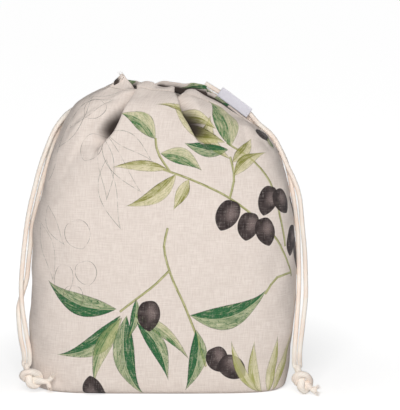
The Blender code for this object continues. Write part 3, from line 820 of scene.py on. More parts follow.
def column_places(points, front):
    run = along(points)
    if not front:
        return np.linspace(0.0, run[-1], BACK_COLUMNS)
    places = []
    start = 0.0
    for pleat, count in zip(FRONT_PLEATS, FRONT_STRETCHES):
        floor = pleat_floor(pleat, points)
        width = float(pleat_sizes(pleat, np.interp(floor, run, points[:, 2]))["width"])
        open_side = [width * share for share in OPEN_COLUMNS]
        inside = [FOLD_INSIDE_WIDTH * share for share in INSIDE_COLUMNS]
        if pleat["side"] > 0:
            offsets = [-step for step in open_side] + inside
        else:
            offsets = [-step for step in reversed(inside)] + list(reversed(open_side))
        places.extend(np.linspace(start, floor + offsets[0], count + 1)[:-1])
        places.extend(floor + step for step in offsets)
        start = places.pop()
    places.extend(np.linspace(start, run[-1], FRONT_STRETCHES[-1] + 1))
    return np.array(places)


print("front columns:", sum(FRONT_STRETCHES) + 2 * (len(OPEN_COLUMNS) + len(INSIDE_COLUMNS) - 1) + 1)


# %% Push the pleats and the gathers in
def unit(vectors):
    return vectors / np.maximum(np.linalg.norm(vectors, axis=2, keepdims=True), 1e-9)


def outward(grid, front):
    normal = unit(np.cross(np.gradient(grid, axis=1), np.gradient(grid, axis=0)))
    return normal if front else -normal


def pleat_push(pleat, points, distance):
    """Along one row: how far a pleat pushes it in and sideways, and how much painted shade it gets there.
    """
    floor = pleat_floor(pleat, points)
    floor_z = np.interp(floor, distance, points[:, 2])
    size = pleat_sizes(pleat, floor_z)
    away = (distance - floor) * pleat["side"]
    width = np.where(away < 0.0, size["width"], FOLD_INSIDE_WIDTH)
    shape = bell(away, width)
    shade = size["depth"] * np.interp(floor_z, *SHADE_FADES) * bell(away, width * SHADE_SPREAD)
    return size["depth"] * shape, pleat["side"] * size["lean"] * shape, shade


def gather_push(gather, x, z, hem):
    """How far one gather pushes the wall in. It fans out below the hem and fades at its low end."""
    hem_x, low_x, low_z, depth, width = gather
    height = np.interp(hem_x, hem[:, 0], hem[:, 2]) - low_z
    rise = np.clip((z - low_z) / height, 0.0, 1.0)
    line_x = low_x + (hem_x - low_x) * rise
    spread = width * (GATHER_LOW_SPREAD + (1.0 - GATHER_LOW_SPREAD) * rise)
    full = 1.0 - GATHER_FULL / height
    body = np.sin(np.clip(rise / full, 0.0, 1.0) * np.pi / 2.0) ** 2
    shut = 1.0 - (1.0 - GATHER_HEM_SHARE) * np.clip((rise - full) / (1.0 - full), 0.0, 1.0)
    return depth * body * shut * bell(x - line_x, spread)


def fold(grid, front):
    """The wall with its pleats and gathers, and how much painted shade each point gets."""
    pushes = np.zeros((3,) + grid.shape[:2])
    distance = np.array([along(row) for row in grid])
    for pleat in FRONT_PLEATS if front else ():
        for row in range(len(grid)):
            pushes[:, row] += pleat_push(pleat, grid[row], distance[row])
    inward, sideways, painted_shade = pushes
    for gather in FRONT_GATHERS if front else BACK_GATHERS:
        inward += gather_push(gather, grid[:, :, 0], grid[:, :, 2], grid[-1])
    free = np.clip(np.minimum(distance, distance[:, -1:] - distance) / SEAM_STIFF, 0.0, 1.0)
    free = (free * free * (3.0 - 2.0 * free))[:, :, None]
    across = unit(np.gradient(grid, axis=1))
    folded = grid - outward(grid, front) * inward[:, :, None] * free + across * sideways[:, :, None] * free
    return folded, painted_shade


print(len(FRONT_PLEATS), "pleats and", len(FRONT_GATHERS) + len(BACK_GATHERS), "gathers")

# %% [markdown]
# ## Small relief
#
# Linen never lies perfectly flat. It keeps soft dents from being handled, faint lines from the iron and
# the pull of its seams. These are a few millimetres deep at most, so they are added last, along the cloth's
# own outward direction: a slow unevenness, a table of soft troughs, and a groove at each seam and
# stitch line.

# %% Relief tables
HEM_HEIGHT = 16.0
STITCH_INSET = 0.6  # the stitches lie this far from the end of the turned-in cloth
STITCH_RUN = HEM_RUN - HEM_HEIGHT + STITCH_INSET
# troughs: from s, t to s, t, then depth and width, where a depth below zero is a ridge
FRONT_TROUGHS = (
    (-46.0, 320.0, -108.0, 262.0, 0.9, 2.6),
    (-52.0, 322.0, -116.0, 240.0, -0.8, 3.2),
    (-66.0, 300.0, -104.0, 214.0, 0.8, 3.4),
    (-70.0, 282.0, -92.0, 232.0, 2.6, 6.0),
    (-72.0, 232.0, -66.0, 120.0, 0.7, 5.0),
    (-95.0, 206.0, -118.0, 196.0, 0.35, 1.2),
    (-30.0, 322.0, -34.0, 268.0, -0.5, 3.0),
    (-4.0, 324.0, -2.0, 262.0, 0.5, 3.4),
    (60.0, 318.0, 92.0, 236.0, 0.8, 3.4),
    (74.0, 322.0, 116.0, 250.0, -0.7, 3.2),
    (90.0, 318.0, 128.0, 262.0, 0.8, 2.6),
    (36.0, 240.0, 62.0, 176.0, -0.7, 6.0),
    (-130.0, 30.0, -84.0, 12.0, 0.8, 5.0),
    (128.0, 34.0, 96.0, 10.0, 0.9, 5.0),
    (-20.0, 8.0, 48.0, 14.0, 0.5, 4.0),
    (118.0, 150.0, 104.0, 90.0, 0.6, 6.0),
)
BACK_TROUGHS = (
    (-60.0, 318.0, -112.0, 230.0, 0.9, 3.4),
    (-30.0, 300.0, -52.0, 190.0, 0.8, 4.4),
    (12.0, 300.0, 4.0, 170.0, -0.8, 5.0),
    (56.0, 310.0, 104.0, 224.0, 0.9, 3.6),
    (-90.0, 150.0, 60.0, 132.0, 0.4, 1.6),
    (-120.0, 40.0, -60.0, 14.0, 0.8, 5.0),
    (120.0, 44.0, 70.0, 12.0, 0.8, 5.0),
)
UNEVEN_SIZE = 1.6  # the lengths of the slow waves below are in units of this
# slow waves: waves across and up for each unit, phase, height
UNEVEN = ((0.021, 0.013, 0.5, 0.55), (-0.017, 0.031, 2.1, 0.4), (0.043, -0.022, 4.0, 0.25),
          (0.012, 0.052, 1.2, 0.22), (0.071, 0.038, 5.3, 0.12), (-0.058, 0.083, 3.3, 0.08))
BACK_PHASE = 2.0  # shifts the waves, so that the back isn't like the front
TROUGH_ENDS = 0.8  # below 1, a trough keeps its depth further towards its ends
SEAM_GROOVE, SEAM_GROOVE_WIDTH = 0.7, 1.6
SEAM_ROLL, SEAM_ROLL_WIDTH, SEAM_ROLL_PLACE = 0.35, 2.0, 4.0
STITCH_GROOVE, STITCH_GROOVE_WIDTH = 0.45, 1.3
CHANNEL_ROLL, CHANNEL_ROLL_WIDTH = 0.3, 4.0
CALM_BASE = (2.0, 12.0)  # the waves and troughs start this far up, and grow over the next millimetres
CALM_HEM = (8.0, 24.0)  # the same at the hem: how far past it they end, and over how much
print(len(FRONT_TROUGHS), "troughs in front,", len(BACK_TROUGHS), "behind")


# %% Relief at a place on the cloth
def waves(s, t, phase_shift):
    out = np.zeros(s.shape)
    for turn_s, turn_t, phase, size in UNEVEN:
        turns = (s * turn_s + t * turn_t) / UNEVEN_SIZE
        out += size * np.sin(2.0 * np.pi * turns + phase + phase_shift)
    return out


def trough(s, t, row):
    s0, t0, s1, t1, depth, width = row
    length = math.hypot(s1 - s0, t1 - t0)
    way = ((s - s0) * (s1 - s0) + (t - t0) * (t1 - t0)) / length ** 2
    aside = ((s - s0) * (t1 - t0) - (t - t0) * (s1 - s0)) / length
    return depth * np.sin(np.pi * np.clip(way, 0.0, 1.0)) ** TROUGH_ENDS * bell(aside, width)


def relief(s, t, across_width, front):
    """How far the cloth stands out, in millimetres, at cloth coordinates s and t."""
    out = waves(s, t, 0.0 if front else BACK_PHASE)
    for row in FRONT_TROUGHS if front else BACK_TROUGHS:
        out -= trough(s, t, row)
    from_seam = across_width / 2.0 - np.abs(s)
    out = out * np.clip(from_seam / SEAM_STIFF, 0.0, 1.0)
    out -= SEAM_GROOVE * bell(from_seam, SEAM_GROOVE_WIDTH)
    out += SEAM_ROLL * bell(from_seam - SEAM_ROLL_PLACE, SEAM_ROLL_WIDTH)
    out = out * np.clip((t - CALM_BASE[0]) / CALM_BASE[1], 0.0, 1.0)
    out = out * np.clip((HEM_RUN + CALM_HEM[0] - t) / CALM_HEM[1], 0.0, 1.0)
    out -= STITCH_GROOVE * bell(t - STITCH_RUN, STITCH_GROOVE_WIDTH)
    out += CHANNEL_ROLL * bell(t - STITCH_RUN - HEM_HEIGHT / 2.0, CHANNEL_ROLL_WIDTH)
    return out


middle_relief = relief(np.zeros(1), np.full(1, 100.0), 330.0, True)[0]
print("relief in the middle of the front:", round(float(middle_relief), 2), "mm")

# %% [markdown]
# ## Building a panel
#
# Rows run from the seam in the middle of the base, out over the base, up the wall and to the hem. There
# the cloth turns over a small radius and runs down again inside, to the stitch line, which makes the
# channel for the cord. Solidify then gives the sheet its thickness, and puts the reverse of the cloth in
# a second material slot, because a print hardly shows on the back of linen.

# %% The wall of a panel
TURN_RADIUS = 1.05
WALL_RUNS = np.concatenate((np.arange(0.0, 16.0, 1.6), np.arange(16.0, 200.0, 2.7),
                            np.arange(200.0, HEM_RUN - TURN_RADIUS, 1.55),
                            (HEM_RUN - TURN_RADIUS,)))


def panel_surface(front):
    """Grid of points of one panel's wall, their cloth coordinates s and t, and the painted shade at each.
    """
    rows, s_rows = [], []
    for run in WALL_RUNS:
        points = base_section(run, front)
        distance = along(points)
        places = column_places(points, front)
        rows.append(np.stack([np.interp(places, distance, points[:, k]) for k in range(3)], axis=1))
        s_rows.append(places - distance[-1] / 2.0)
    wall, s = np.array(rows), np.array(s_rows)
    t = np.repeat(WALL_RUNS[:, None], wall.shape[1], axis=1)
    wall, painted_shade = fold(wall, front)
    wall = wall + outward(wall, front) * relief(s, t, s[:, -1:] - s[:, :1], front)[:, :, None]
    # the side seams stay in the middle plane, each panel on its own side of it, and all on the floor
    side = -1.0 if front else 1.0
    wall[:, (0, -1), 1] = 0.0
    wall[:, :, 1] = side * np.maximum(side * wall[:, :, 1], 0.0)
    wall[:, :, 2] = np.maximum(wall[:, :, 2], 0.0)
    wall[0, :, 2] = 0.0
    return wall, s, t, painted_shade


walls = {"front": panel_surface(True), "back": panel_surface(False)}
print("wall rows and columns:", {name: wall[0].shape[:2] for name, wall in walls.items()})

# %% The base, the turned edge and the inner side of the channel
BASE_SHARES = (0.0, 0.25, 0.5, 0.75, 0.9)
BASE_TUCK = 0.03  # the ends of the base's seam are drawn in by this share
TURN_STEPS = 7
CHANNEL_GAP = 1.25
CHANNEL_CLOSES = 5.0  # over the last millimetres down to the stitches
MOUTH_SHADE = 3.0  # painted shade: the channel is painted darker inside the mouth, like the cloth in a pleat


def base_rows(ring):
    """Rows from the seam in the middle of the base out to the foot of the wall, and the t of each."""
    middle = (ring[0, 0] + ring[-1, 0]) / 2.0
    rows, t = [], []
    for share in BASE_SHARES:
        row = ring.copy()
        row[:, 0] = middle + (row[:, 0] - middle) * (1.0 - BASE_TUCK * (1.0 - share))
        row[:, 1] = share * ring[:, 1]
        rows.append(row)
        t.append(-(1.0 - share) * np.abs(ring[:, 1]))
    return rows, t


def turned_edge(wall, out):
    """Rows of the half round that the cloth makes at the hem, and the t of each."""
    up = np.gradient(wall, axis=0)[-1]
    up /= np.linalg.norm(up, axis=1, keepdims=True)
    rows, t = [], []
    for angle in np.linspace(0.0, np.pi, TURN_STEPS + 1)[1:]:
        rows.append(wall[-1] + out[-1] * (TURN_RADIUS * (math.cos(angle) - 1.0))
                    + up * (TURN_RADIUS * math.sin(angle)))
        t.append(HEM_RUN + TURN_RADIUS * (angle - 1.0))
    return rows, t


def inner_rows(wall, out):
    """Rows of the cloth that is turned in, from the hem down to the stitches, and the t of each."""
    low = HEM_RUN - HEM_HEIGHT
    rows, t = [], []
    for i in range(len(WALL_RUNS) - 2, 0, -1):
        if WALL_RUNS[i] < low:
            break
        opening = np.clip((WALL_RUNS[i] - low) / CHANNEL_CLOSES, 0.0, 1.0)
        rows.append(wall[i] - out[i] * (CHANNEL_GAP + (2.0 * TURN_RADIUS - CHANNEL_GAP) * opening))
        t.append(2.0 * HEM_RUN - WALL_RUNS[i])
    return rows, t


def whole_panel(wall, s, t, painted_shade, front):
    out = outward(wall, front)
    base, base_t = base_rows(wall[0])
    turn, turn_t = turned_edge(wall, out)
    inner, inner_t = inner_rows(wall, out)
    above_t = np.array(turn_t + inner_t)[:, None].repeat(wall.shape[1], axis=1)
    # painted shade: the turned edge and the channel's inner side get darker the further they run into the
    # mouth
    painted_shade_above = painted_shade[-1:] + np.maximum(above_t - HEM_RUN, 0.0) * MOUTH_SHADE
    below, above = np.ones((len(base), 1)), np.ones((len(above_t), 1))
    return {"points": np.concatenate((base, wall, turn, inner)),
            "s": np.concatenate((below * s[:1], s, above * s[-1:])),
            "t": np.concatenate((base_t, t, above_t)),
            "painted_shade": np.concatenate((below * painted_shade[:1], painted_shade, painted_shade_above)),
            "wall": wall, "front": front}


panels = {name: whole_panel(*wall, name == "front") for name, wall in walls.items()}
for name, panel in panels.items():
    print(name, panel["points"].shape[:2], "rows and columns")

# %% [markdown]
# ## The print
#
# The cloth is printed with olive sprigs: stems, long leaves, olives, and a few that are only a pencil
# line. Each shape is a row of numbers on the flat cloth: where it starts, which way it points, how long
# and wide it is and how much it bends. The mesh stores, for every face, the shapes that cover it and
# its corners' places in each shape's own coordinates. The material then draws the outline exactly, much
# finer than the mesh is.

# %% Sprigs on the flat cloth
STEM, DARK, YELLOW, OLIVE, PENCIL_LEAF, PENCIL_OLIVE, PALE, MIDGREEN = range(8)

# each stem is a line of places s, t
FRONT_STEMS = (
    ((4.0, 170.0), (1.0, 150.0), (8.0, 122.0), (22.0, 92.0), (34.0, 66.0), (46.0, 34.0)),
    ((6.0, 128.0), (-10.0, 112.0), (-28.0, 98.0), (-40.0, 88.0)),
    ((134.0, 118.0), (118.0, 150.0), (92.0, 178.0), (60.0, 202.0), (26.0, 218.0), (-2.0, 228.0)),
    ((62.0, 201.0), (66.0, 222.0), (62.0, 244.0)),
    ((58.0, 262.0), (84.0, 244.0), (104.0, 216.0), (116.0, 180.0), (124.0, 150.0)),
    ((4.0, 226.0), (-8.0, 244.0), (-12.0, 258.0)),
    ((133.0, 122.0), (112.0, 118.0), (100.0, 104.0)),
)
FRONT_SHAPES = (
    # s, t, turn, length, half width, bow, kind
    (-44.0, 90.0, 160.0, 76.0, 10.5, 9.0, DARK),
    (-40.0, 84.0, 214.0, 72.0, 10.5, 12.0, DARK),
    (-38.0, 82.0, 250.0, 70.0, 8.0, -6.0, MIDGREEN),
    (-34.0, 84.0, 283.0, 84.0, 10.5, -9.0, DARK),
    (-30.0, 86.0, 322.0, 76.0, 5.5, 6.0, MIDGREEN),
    (-26.0, 100.0, 262.0, 40.0, 4.5, 3.0, DARK),
    (-24.0, 78.0, 300.0, 68.0, 8.0, 7.0, DARK),
    (34.0, 70.0, 262.0, 62.0, 8.5, 8.0, DARK),
    (27.0, 84.0, 18.0, 78.0, 12.0, -14.0, DARK),
    (-14.0, 98.0, 276.0, 30.0, 11.0, 0.0, OLIVE),
    (52.0, 52.0, 292.0, 26.0, 10.5, 0.0, OLIVE),
    (60.0, 40.0, 326.0, 30.0, 11.0, 0.0, OLIVE),
    (-12.0, 258.0, 150.0, 46.0, 8.0, -6.0, MIDGREEN),
    (-6.0, 244.0, 338.0, 44.0, 8.5, 6.0, MIDGREEN),
    (2.0, 228.0, 178.0, 54.0, 5.5, -3.0, YELLOW),
    (10.0, 224.0, 214.0, 58.0, 8.0, 7.0, YELLOW),
    (22.0, 219.0, 246.0, 34.0, 6.0, 0.0, YELLOW),
    (62.0, 242.0, 118.0, 58.0, 5.5, 7.0, YELLOW),
    (64.0, 238.0, 66.0, 42.0, 6.5, -4.0, YELLOW),
    (66.0, 224.0, 44.0, 46.0, 7.0, 4.0, YELLOW),
    (84.0, 186.0, 262.0, 29.0, 11.0, 0.0, OLIVE),
    (96.0, 180.0, 286.0, 30.0, 10.0, 0.0, OLIVE),
    (66.0, 198.0, 250.0, 32.0, 11.5, 0.0, OLIVE),
    (104.0, 214.0, 258.0, 32.0, 10.5, 0.0, OLIVE),
    (110.0, 210.0, 300.0, 30.0, 9.5, 0.0, OLIVE),
    (136.0, 170.0, 262.0, 32.0, 8.0, 0.0, OLIVE),
    (150.0, 200.0, 268.0, 28.0, 8.0, 0.0, OLIVE),
    (144.0, 156.0, 284.0, 35.0, 8.0, 0.0, OLIVE),
    (62.0, 258.0, 122.0, 74.0, 12.5, -8.0, MIDGREEN),
    (56.0, 262.0, 150.0, 70.0, 8.0, 7.0, YELLOW),
    (60.0, 254.0, 178.0, 44.0, 8.5, 4.0, DARK),
    (44.0, 276.0, 166.0, 66.0, 6.0, -7.0, YELLOW),
    (86.0, 306.0, 300.0, 28.0, 9.0, 0.0, OLIVE),
    (112.0, 268.0, 106.0, 34.0, 5.0, 3.0, MIDGREEN),
    (100.0, 2.0, 98.0, 56.0, 5.5, 3.0, PALE),
    (106.0, 2.0, 80.0, 60.0, 5.5, -3.0, PALE),
    (112.0, 4.0, 66.0, 70.0, 5.0, -4.0, PALE),
    (98.0, 4.0, 118.0, 62.0, 5.0, 4.0, PALE),
    (-62.0, -6.0, 98.0, 30.0, 10.5, 0.0, OLIVE),
    (-74.0, 296.0, 236.0, 22.0, 11.0, 0.0, PENCIL_OLIVE),
    (-70.0, 262.0, 248.0, 27.0, 11.5, 0.0, PENCIL_OLIVE),
    (-88.0, 176.0, 290.0, 29.0, 13.0, 0.0, PENCIL_OLIVE),
    (-96.0, 132.0, 262.0, 32.0, 10.0, 0.0, PENCIL_OLIVE),
    (-78.0, 136.0, 286.0, 24.0, 11.0, 0.0, PENCIL_OLIVE),
    (-88.0, 112.0, 272.0, 26.0, 10.5, 0.0, PENCIL_OLIVE),
    (-64.0, 266.0, 304.0, 74.0, 8.0, -5.0, PENCIL_LEAF),
    (-62.0, 264.0, 330.0, 56.0, 7.0, 5.0, PENCIL_LEAF),
    (-66.0, 262.0, 278.0, 66.0, 8.0, 4.0, PENCIL_LEAF),
    (-58.0, 238.0, 284.0, 72.0, 9.0, -6.0, PENCIL_LEAF),
    (-102.0, 268.0, 42.0, 50.0, 8.0, 4.0, PENCIL_LEAF),
    (-112.0, 250.0, 64.0, 58.0, 8.0, -4.0, PENCIL_LEAF),
    (-122.0, 214.0, 76.0, 48.0, 6.5, 3.0, PENCIL_LEAF),
    (-128.0, 172.0, 288.0, 60.0, 8.0, 4.0, PENCIL_LEAF),
    (-118.0, 190.0, 300.0, 44.0, 7.0, -4.0, PENCIL_LEAF),
    (-92.0, 300.0, 30.0, 40.0, 6.0, 2.0, PENCIL_LEAF),
    (-34.0, 30.0, 84.0, 40.0, 4.0, 2.0, PENCIL_LEAF),
)
BACK_HEM_SHAPES = (
    (-60.0, 330.0, 96.0, 28.0, 6.0, 2.0, DARK),
    (-8.0, 340.0, 352.0, 34.0, 4.0, -2.0, DARK),
    (26.0, 342.0, 334.0, 26.0, 5.0, 0.0, DARK),
)
BACK_SHIFT = (12.0, -6.0)
print(len(FRONT_STEMS), "stems and", len(FRONT_SHAPES), "leaves and olives")


# %% Stems as shapes, and the back's own layout
STEM_HALF_WIDTH = 1.15
STEM_STEP = 9.0
STEM_OVERLAP = 0.7


def stems_as_shapes(stems):
    """A stem becomes a chain of short straight shapes."""
    shapes = []
    for stem in stems:
        line = smooth_route([(s, t, 0.0) for s, t in stem], STEM_STEP)[:, :2]
        for (s0, t0), (s1, t1) in zip(line, line[1:]):
            turn = math.degrees(math.atan2(t1 - t0, s1 - s0))
            length = math.hypot(s1 - s0, t1 - t0) + STEM_OVERLAP
            shapes.append((s0, t0, turn, length, STEM_HALF_WIDTH, 0.0, STEM))
    return shapes


def turned_over(shapes):
    """The same kind of sprigs laid out the other way round, for the back."""
    shift_s, shift_t = BACK_SHIFT
    return [(shift_s - s, t + shift_t, 180.0 - turn, length, half, -bow, kind)
            for s, t, turn, length, half, bow, kind in shapes]


front_print = stems_as_shapes(FRONT_STEMS) + list(FRONT_SHAPES)
prints = {"front": front_print, "back": turned_over(front_print) + list(BACK_HEM_SHAPES)}
print({name: len(shapes) for name, shapes in prints.items()}, "shapes")


# %% Give each face its shapes
PRINT_LAYERS = 4
PRINT_MARGIN = 1.6
NO_INK = -9.0  # a half width below zero draws nothing


def corners_of(grid, front):
    """Values at the four corners of every face, in the order of the face's points."""
    low, low_next, high_next, high = grid[:-1, :-1], grid[:-1, 1:], grid[1:, 1:], grid[1:, :-1]
    order = (low, low_next, high_next, high) if front else (high, high_next, low_next, low)
    return np.stack([part.ravel() for part in order], axis=1)


def shape_places(panel, shapes):
    """Per layer and face corner: (along, aside, seed) and (length, half width, kind)."""
    s = corners_of(panel["s"], panel["front"])
    t = corners_of(panel["t"], panel["front"])
    used = np.zeros(len(s), int)
    places = np.zeros((PRINT_LAYERS, len(s), 4, 3), np.float32)
    sizes = np.zeros((PRINT_LAYERS, len(s), 4, 3), np.float32)
    sizes[:, :, :] = (1.0, NO_INK, 0.0)
    seeds = np.random.default_rng(7).random(len(shapes))
    for (s0, t0, turn, length, half, bow, kind), seed in zip(shapes, seeds):
        cos, sin = math.cos(math.radians(turn)), math.sin(math.radians(turn))
        u = (s - s0) * cos + (t - t0) * sin
        v = (t - t0) * cos - (s - s0) * sin
        share = np.clip(u / length, 0.0, 1.0)
        v = v - bow * 4.0 * share * (1.0 - share)
        reach = half * (1.0 if kind == STEM else np.sin(np.pi * share) ** 0.5)
        inside = np.minimum(np.minimum(reach - np.abs(v), u), length - u)
        hit = (inside.max(axis=1) > -PRINT_MARGIN) & (used < PRINT_LAYERS)
        layer, faces = used[hit], np.nonzero(hit)[0]
        places[layer, faces, :, 0] = u[hit]
        places[layer, faces, :, 1] = v[hit]
        places[layer, faces, :, 2] = seed
        sizes[layer, faces] = (length, half, kind)
        used[hit] += 1
    return places, sizes


print_data = {name: shape_places(panels[name], prints[name]) for name in panels}
print("printed faces:", {n: int((d[1][0, :, 0, 1] > 0).sum()) for n, d in print_data.items()})

# %% [markdown]
# ### How the ink looks
#
# The drawing is a water colour: a darker rim where the paint has dried, a lighter half to each leaf, a
# pale rib and thin veins, and olives with a soft light. One node group draws one shape, and the linen
# material uses it once for each layer.

# %% The inks
INKS = (
    # a row for each kind: dark half, pale half, then its form: olive, only an outline, stem
    (colour(150, 150, 92), colour(212, 208, 160), (0.0, 0.0, 1.0, 1.0)),
    (colour(34, 98, 54), colour(166, 180, 112), (0.0, 0.0, 0.0, 1.0)),
    (colour(136, 136, 60), colour(218, 210, 154), (0.0, 0.0, 0.0, 1.0)),
    (colour(42, 30, 30), colour(150, 132, 128), (1.0, 0.0, 0.0, 1.0)),
    (colour(126, 130, 112), colour(126, 130, 112), (0.0, 1.0, 0.0, 1.0)),
    (colour(116, 98, 88), colour(116, 98, 88), (1.0, 1.0, 0.0, 1.0)),
    (colour(168, 168, 96), colour(220, 214, 166), (0.0, 0.0, 0.0, 1.0)),
    (colour(66, 116, 64), colour(196, 194, 132), (0.0, 0.0, 0.0, 1.0)),
)
print(len(INKS), "inks")


# %% The outline of a shape
LEAF_BELLY, LEAF_POINT = 0.8, 1.2  # a leaf is widest nearer its foot, and its ends are fine
EGG_BELLY, EGG_FOOT, EGG_TIP = 0.85, 0.42, 0.3  # an olive is blunt at its foot and less so at its tip
PAST_END = 0.3  # millimetres
EDGE_ROUGHNESS, LEAF_ROUGHNESS = 0.25, 0.75  # the same for every edge, and more for a leaf's
INK_EDGE = (-0.2, 0.2)  # millimetres inside the outline
PENCIL_EDGE = (0.25, 0.75)
PENCIL_BREAKS = (0.3, 0.56)
PENCIL_STRENGTH = 0.8


def half_width_at(g, u, length, half, olive, stem, leaf):
    """Half width at the place u: of a pointed leaf, an egg-shaped olive or a strip."""
    share = g.math("DIVIDE", u, length, clamp=True)
    wide = g.math("SINE", g.times(g.math("POWER", share, LEAF_BELLY), math.pi))
    pointed = g.math("POWER", g.math("MAXIMUM", wide, 0.0001), LEAF_POINT)
    from_middle = g.minus(g.times(g.math("POWER", share, EGG_BELLY), 2.0), 1.0)
    egg = g.math("POWER", g.minus(1.0, g.times(from_middle, from_middle), clamp=True),
                 g.plus(EGG_FOOT, g.times(share, EGG_TIP)))
    return g.times(half, g.plus(stem, g.plus(g.times(pointed, leaf), g.times(egg, olive))))


def depth_inside(g, u, v, length, half_width, leaf, grain):
    """Millimetres in from the nearest edge of the shape. The cloth's grain makes the edge rough."""
    inside = g.minus(half_width, g.math("ABSOLUTE", v))
    ends = g.math("MINIMUM", g.plus(u, PAST_END), g.minus(g.plus(length, PAST_END), u))
    roughness = g.plus(EDGE_ROUGHNESS, g.times(leaf, LEAF_ROUGHNESS))
    return g.plus(g.math("MINIMUM", inside, ends), g.times(g.minus(grain, 0.5), roughness))


def ink_cover(g, inside, outline, wash):
    """1 where there is ink: all over a painted shape, or a broken line round a pencilled one."""
    fill = g.step(inside, *INK_EDGE)
    line = g.times(fill, g.minus(1.0, g.step(inside, *PENCIL_EDGE)))
    line = g.times(line, g.step(wash, *PENCIL_BREAKS))
    return g.plus(g.times(fill, g.minus(1.0, outline)), g.times(line, g.times(outline, PENCIL_STRENGTH)))


print("outlines: leaf, olive, strip")


# %% How a leaf and an olive are painted
PALE_HALF = 0.62  # how much paler one half of a leaf is
OTHER_HALF = 0.45  # the share of the leaves whose pale half is the other one
HALVES_MEET = (-0.4, 0.9)  # millimetres across the rib
BRUSH_SCALE = (0.07, 0.85, 37.0)  # long strokes along the leaf, and different ones in each shape
BRUSH_MIDDLE, BRUSH_STRENGTH = 0.47, 2.2
WASH_MIDDLE, WASH_STRENGTH = 0.45, 1.2
DARK_KIND_LESS, ALL_MORE = 0.3, 0.08  # a DARK leaf is this much less pale, and then all are a little more
VEIN_SLANT, VEIN_WOBBLE, VEINS = 1.7, 24.0, 0.8  # VEINS is in radians a millimetre
VEIN_WIDTH, VEIN_BREAKS = (0.86, 1.0), (0.4, 0.55)
VEIN_ON_DARK, VEIN_ON_PALE = 0.3, -0.6  # paler on dark paint, darker on pale paint
RIB_WIDTH, RIB_STRENGTH = (0.15, 0.55), 0.8
SHINE_PLACE, SHINE_ASIDE = 0.4, 0.28  # shares of an olive's length and half width
SHINE_LONG = 1.35
SHINE_EDGE = (0.8, 0.05)
RIM_WIDTH, RIM_STRENGTH, STEM_RIM_LESS = (0.1, 1.0), 0.8, 0.35


def leaf_paleness(g, place, wash, kind, leaf):
    """0 dark, 1 pale: one half of each, strokes of the brush along the leaf, slanted veins and a rib."""
    u, v, seed = g.parts(place)
    aside = g.math("ABSOLUTE", v)
    brush = g.noise(g.scaled(place, *BRUSH_SCALE), 1.0, 3.0, 0.6)
    pale_side = g.minus(g.times(g.math("GREATER_THAN", seed, OTHER_HALF), 2.0), 1.0)
    pale = g.times(g.step(g.times(v, pale_side), *HALVES_MEET), PALE_HALF)
    is_dark = g.math("LESS_THAN", g.math("ABSOLUTE", g.minus(kind, DARK)), 0.5)
    strokes = g.minus(g.times(g.minus(brush, BRUSH_MIDDLE), BRUSH_STRENGTH),
                      g.minus(g.times(is_dark, DARK_KIND_LESS), ALL_MORE))
    blots = g.times(g.minus(wash, WASH_MIDDLE), WASH_STRENGTH)
    pale = g.plus(g.plus(pale, blots), strokes, clamp=True)
    slant = g.plus(g.minus(u, g.times(aside, VEIN_SLANT)), g.times(wash, VEIN_WOBBLE))
    vein = g.times(g.step(g.math("SINE", g.times(slant, VEINS)), *VEIN_WIDTH),
                   g.times(leaf, g.step(brush, *VEIN_BREAKS)))
    on_dark = g.math("LESS_THAN", pale, 0.4)
    change = g.plus(g.times(on_dark, VEIN_ON_DARK - VEIN_ON_PALE), VEIN_ON_PALE)
    pale = g.plus(pale, g.times(vein, change), clamp=True)
    rib = g.times(g.minus(1.0, g.step(aside, *RIB_WIDTH)), leaf)
    return g.math("MAXIMUM", pale, g.times(rib, RIB_STRENGTH))


def olive_shine(g, u, v, length, half, wash, grain):
    """A soft light off the middle of the olive, with fine dots."""
    spot = g.node("ShaderNodeCombineXYZ", {
        0: g.math("DIVIDE", g.minus(u, g.times(length, SHINE_PLACE)), g.times(half, SHINE_LONG)),
        1: g.math("DIVIDE", v, half)})
    away = g.length(g.vector("SUBTRACT", spot.outputs[0], (0.0, SHINE_ASIDE, 0.0)))
    shine = g.times(g.step(away, *SHINE_EDGE), g.plus(g.times(grain, 1.5), -0.2))
    return g.plus(shine, g.times(g.minus(wash, 0.42), 0.6), clamp=True)


def dried_rim(g, inside, stem, wash):
    """The darker rim where the paint dried, weaker on a stem."""
    rim = g.minus(1.0, g.step(inside, *RIM_WIDTH))
    rim = g.times(rim, g.plus(0.25, g.step(wash, 0.35, 0.6)), clamp=True)
    return g.times(rim, g.minus(RIM_STRENGTH, g.times(stem, STEM_RIM_LESS)))


print("brushwork: halves, strokes, veins, rib, shine and rim")


# %% Ink node group
RIM_COLOUR = colour(128, 122, 108)
THIN_PAINT = 0.42  # how far the cloth shows through the pale parts of a leaf


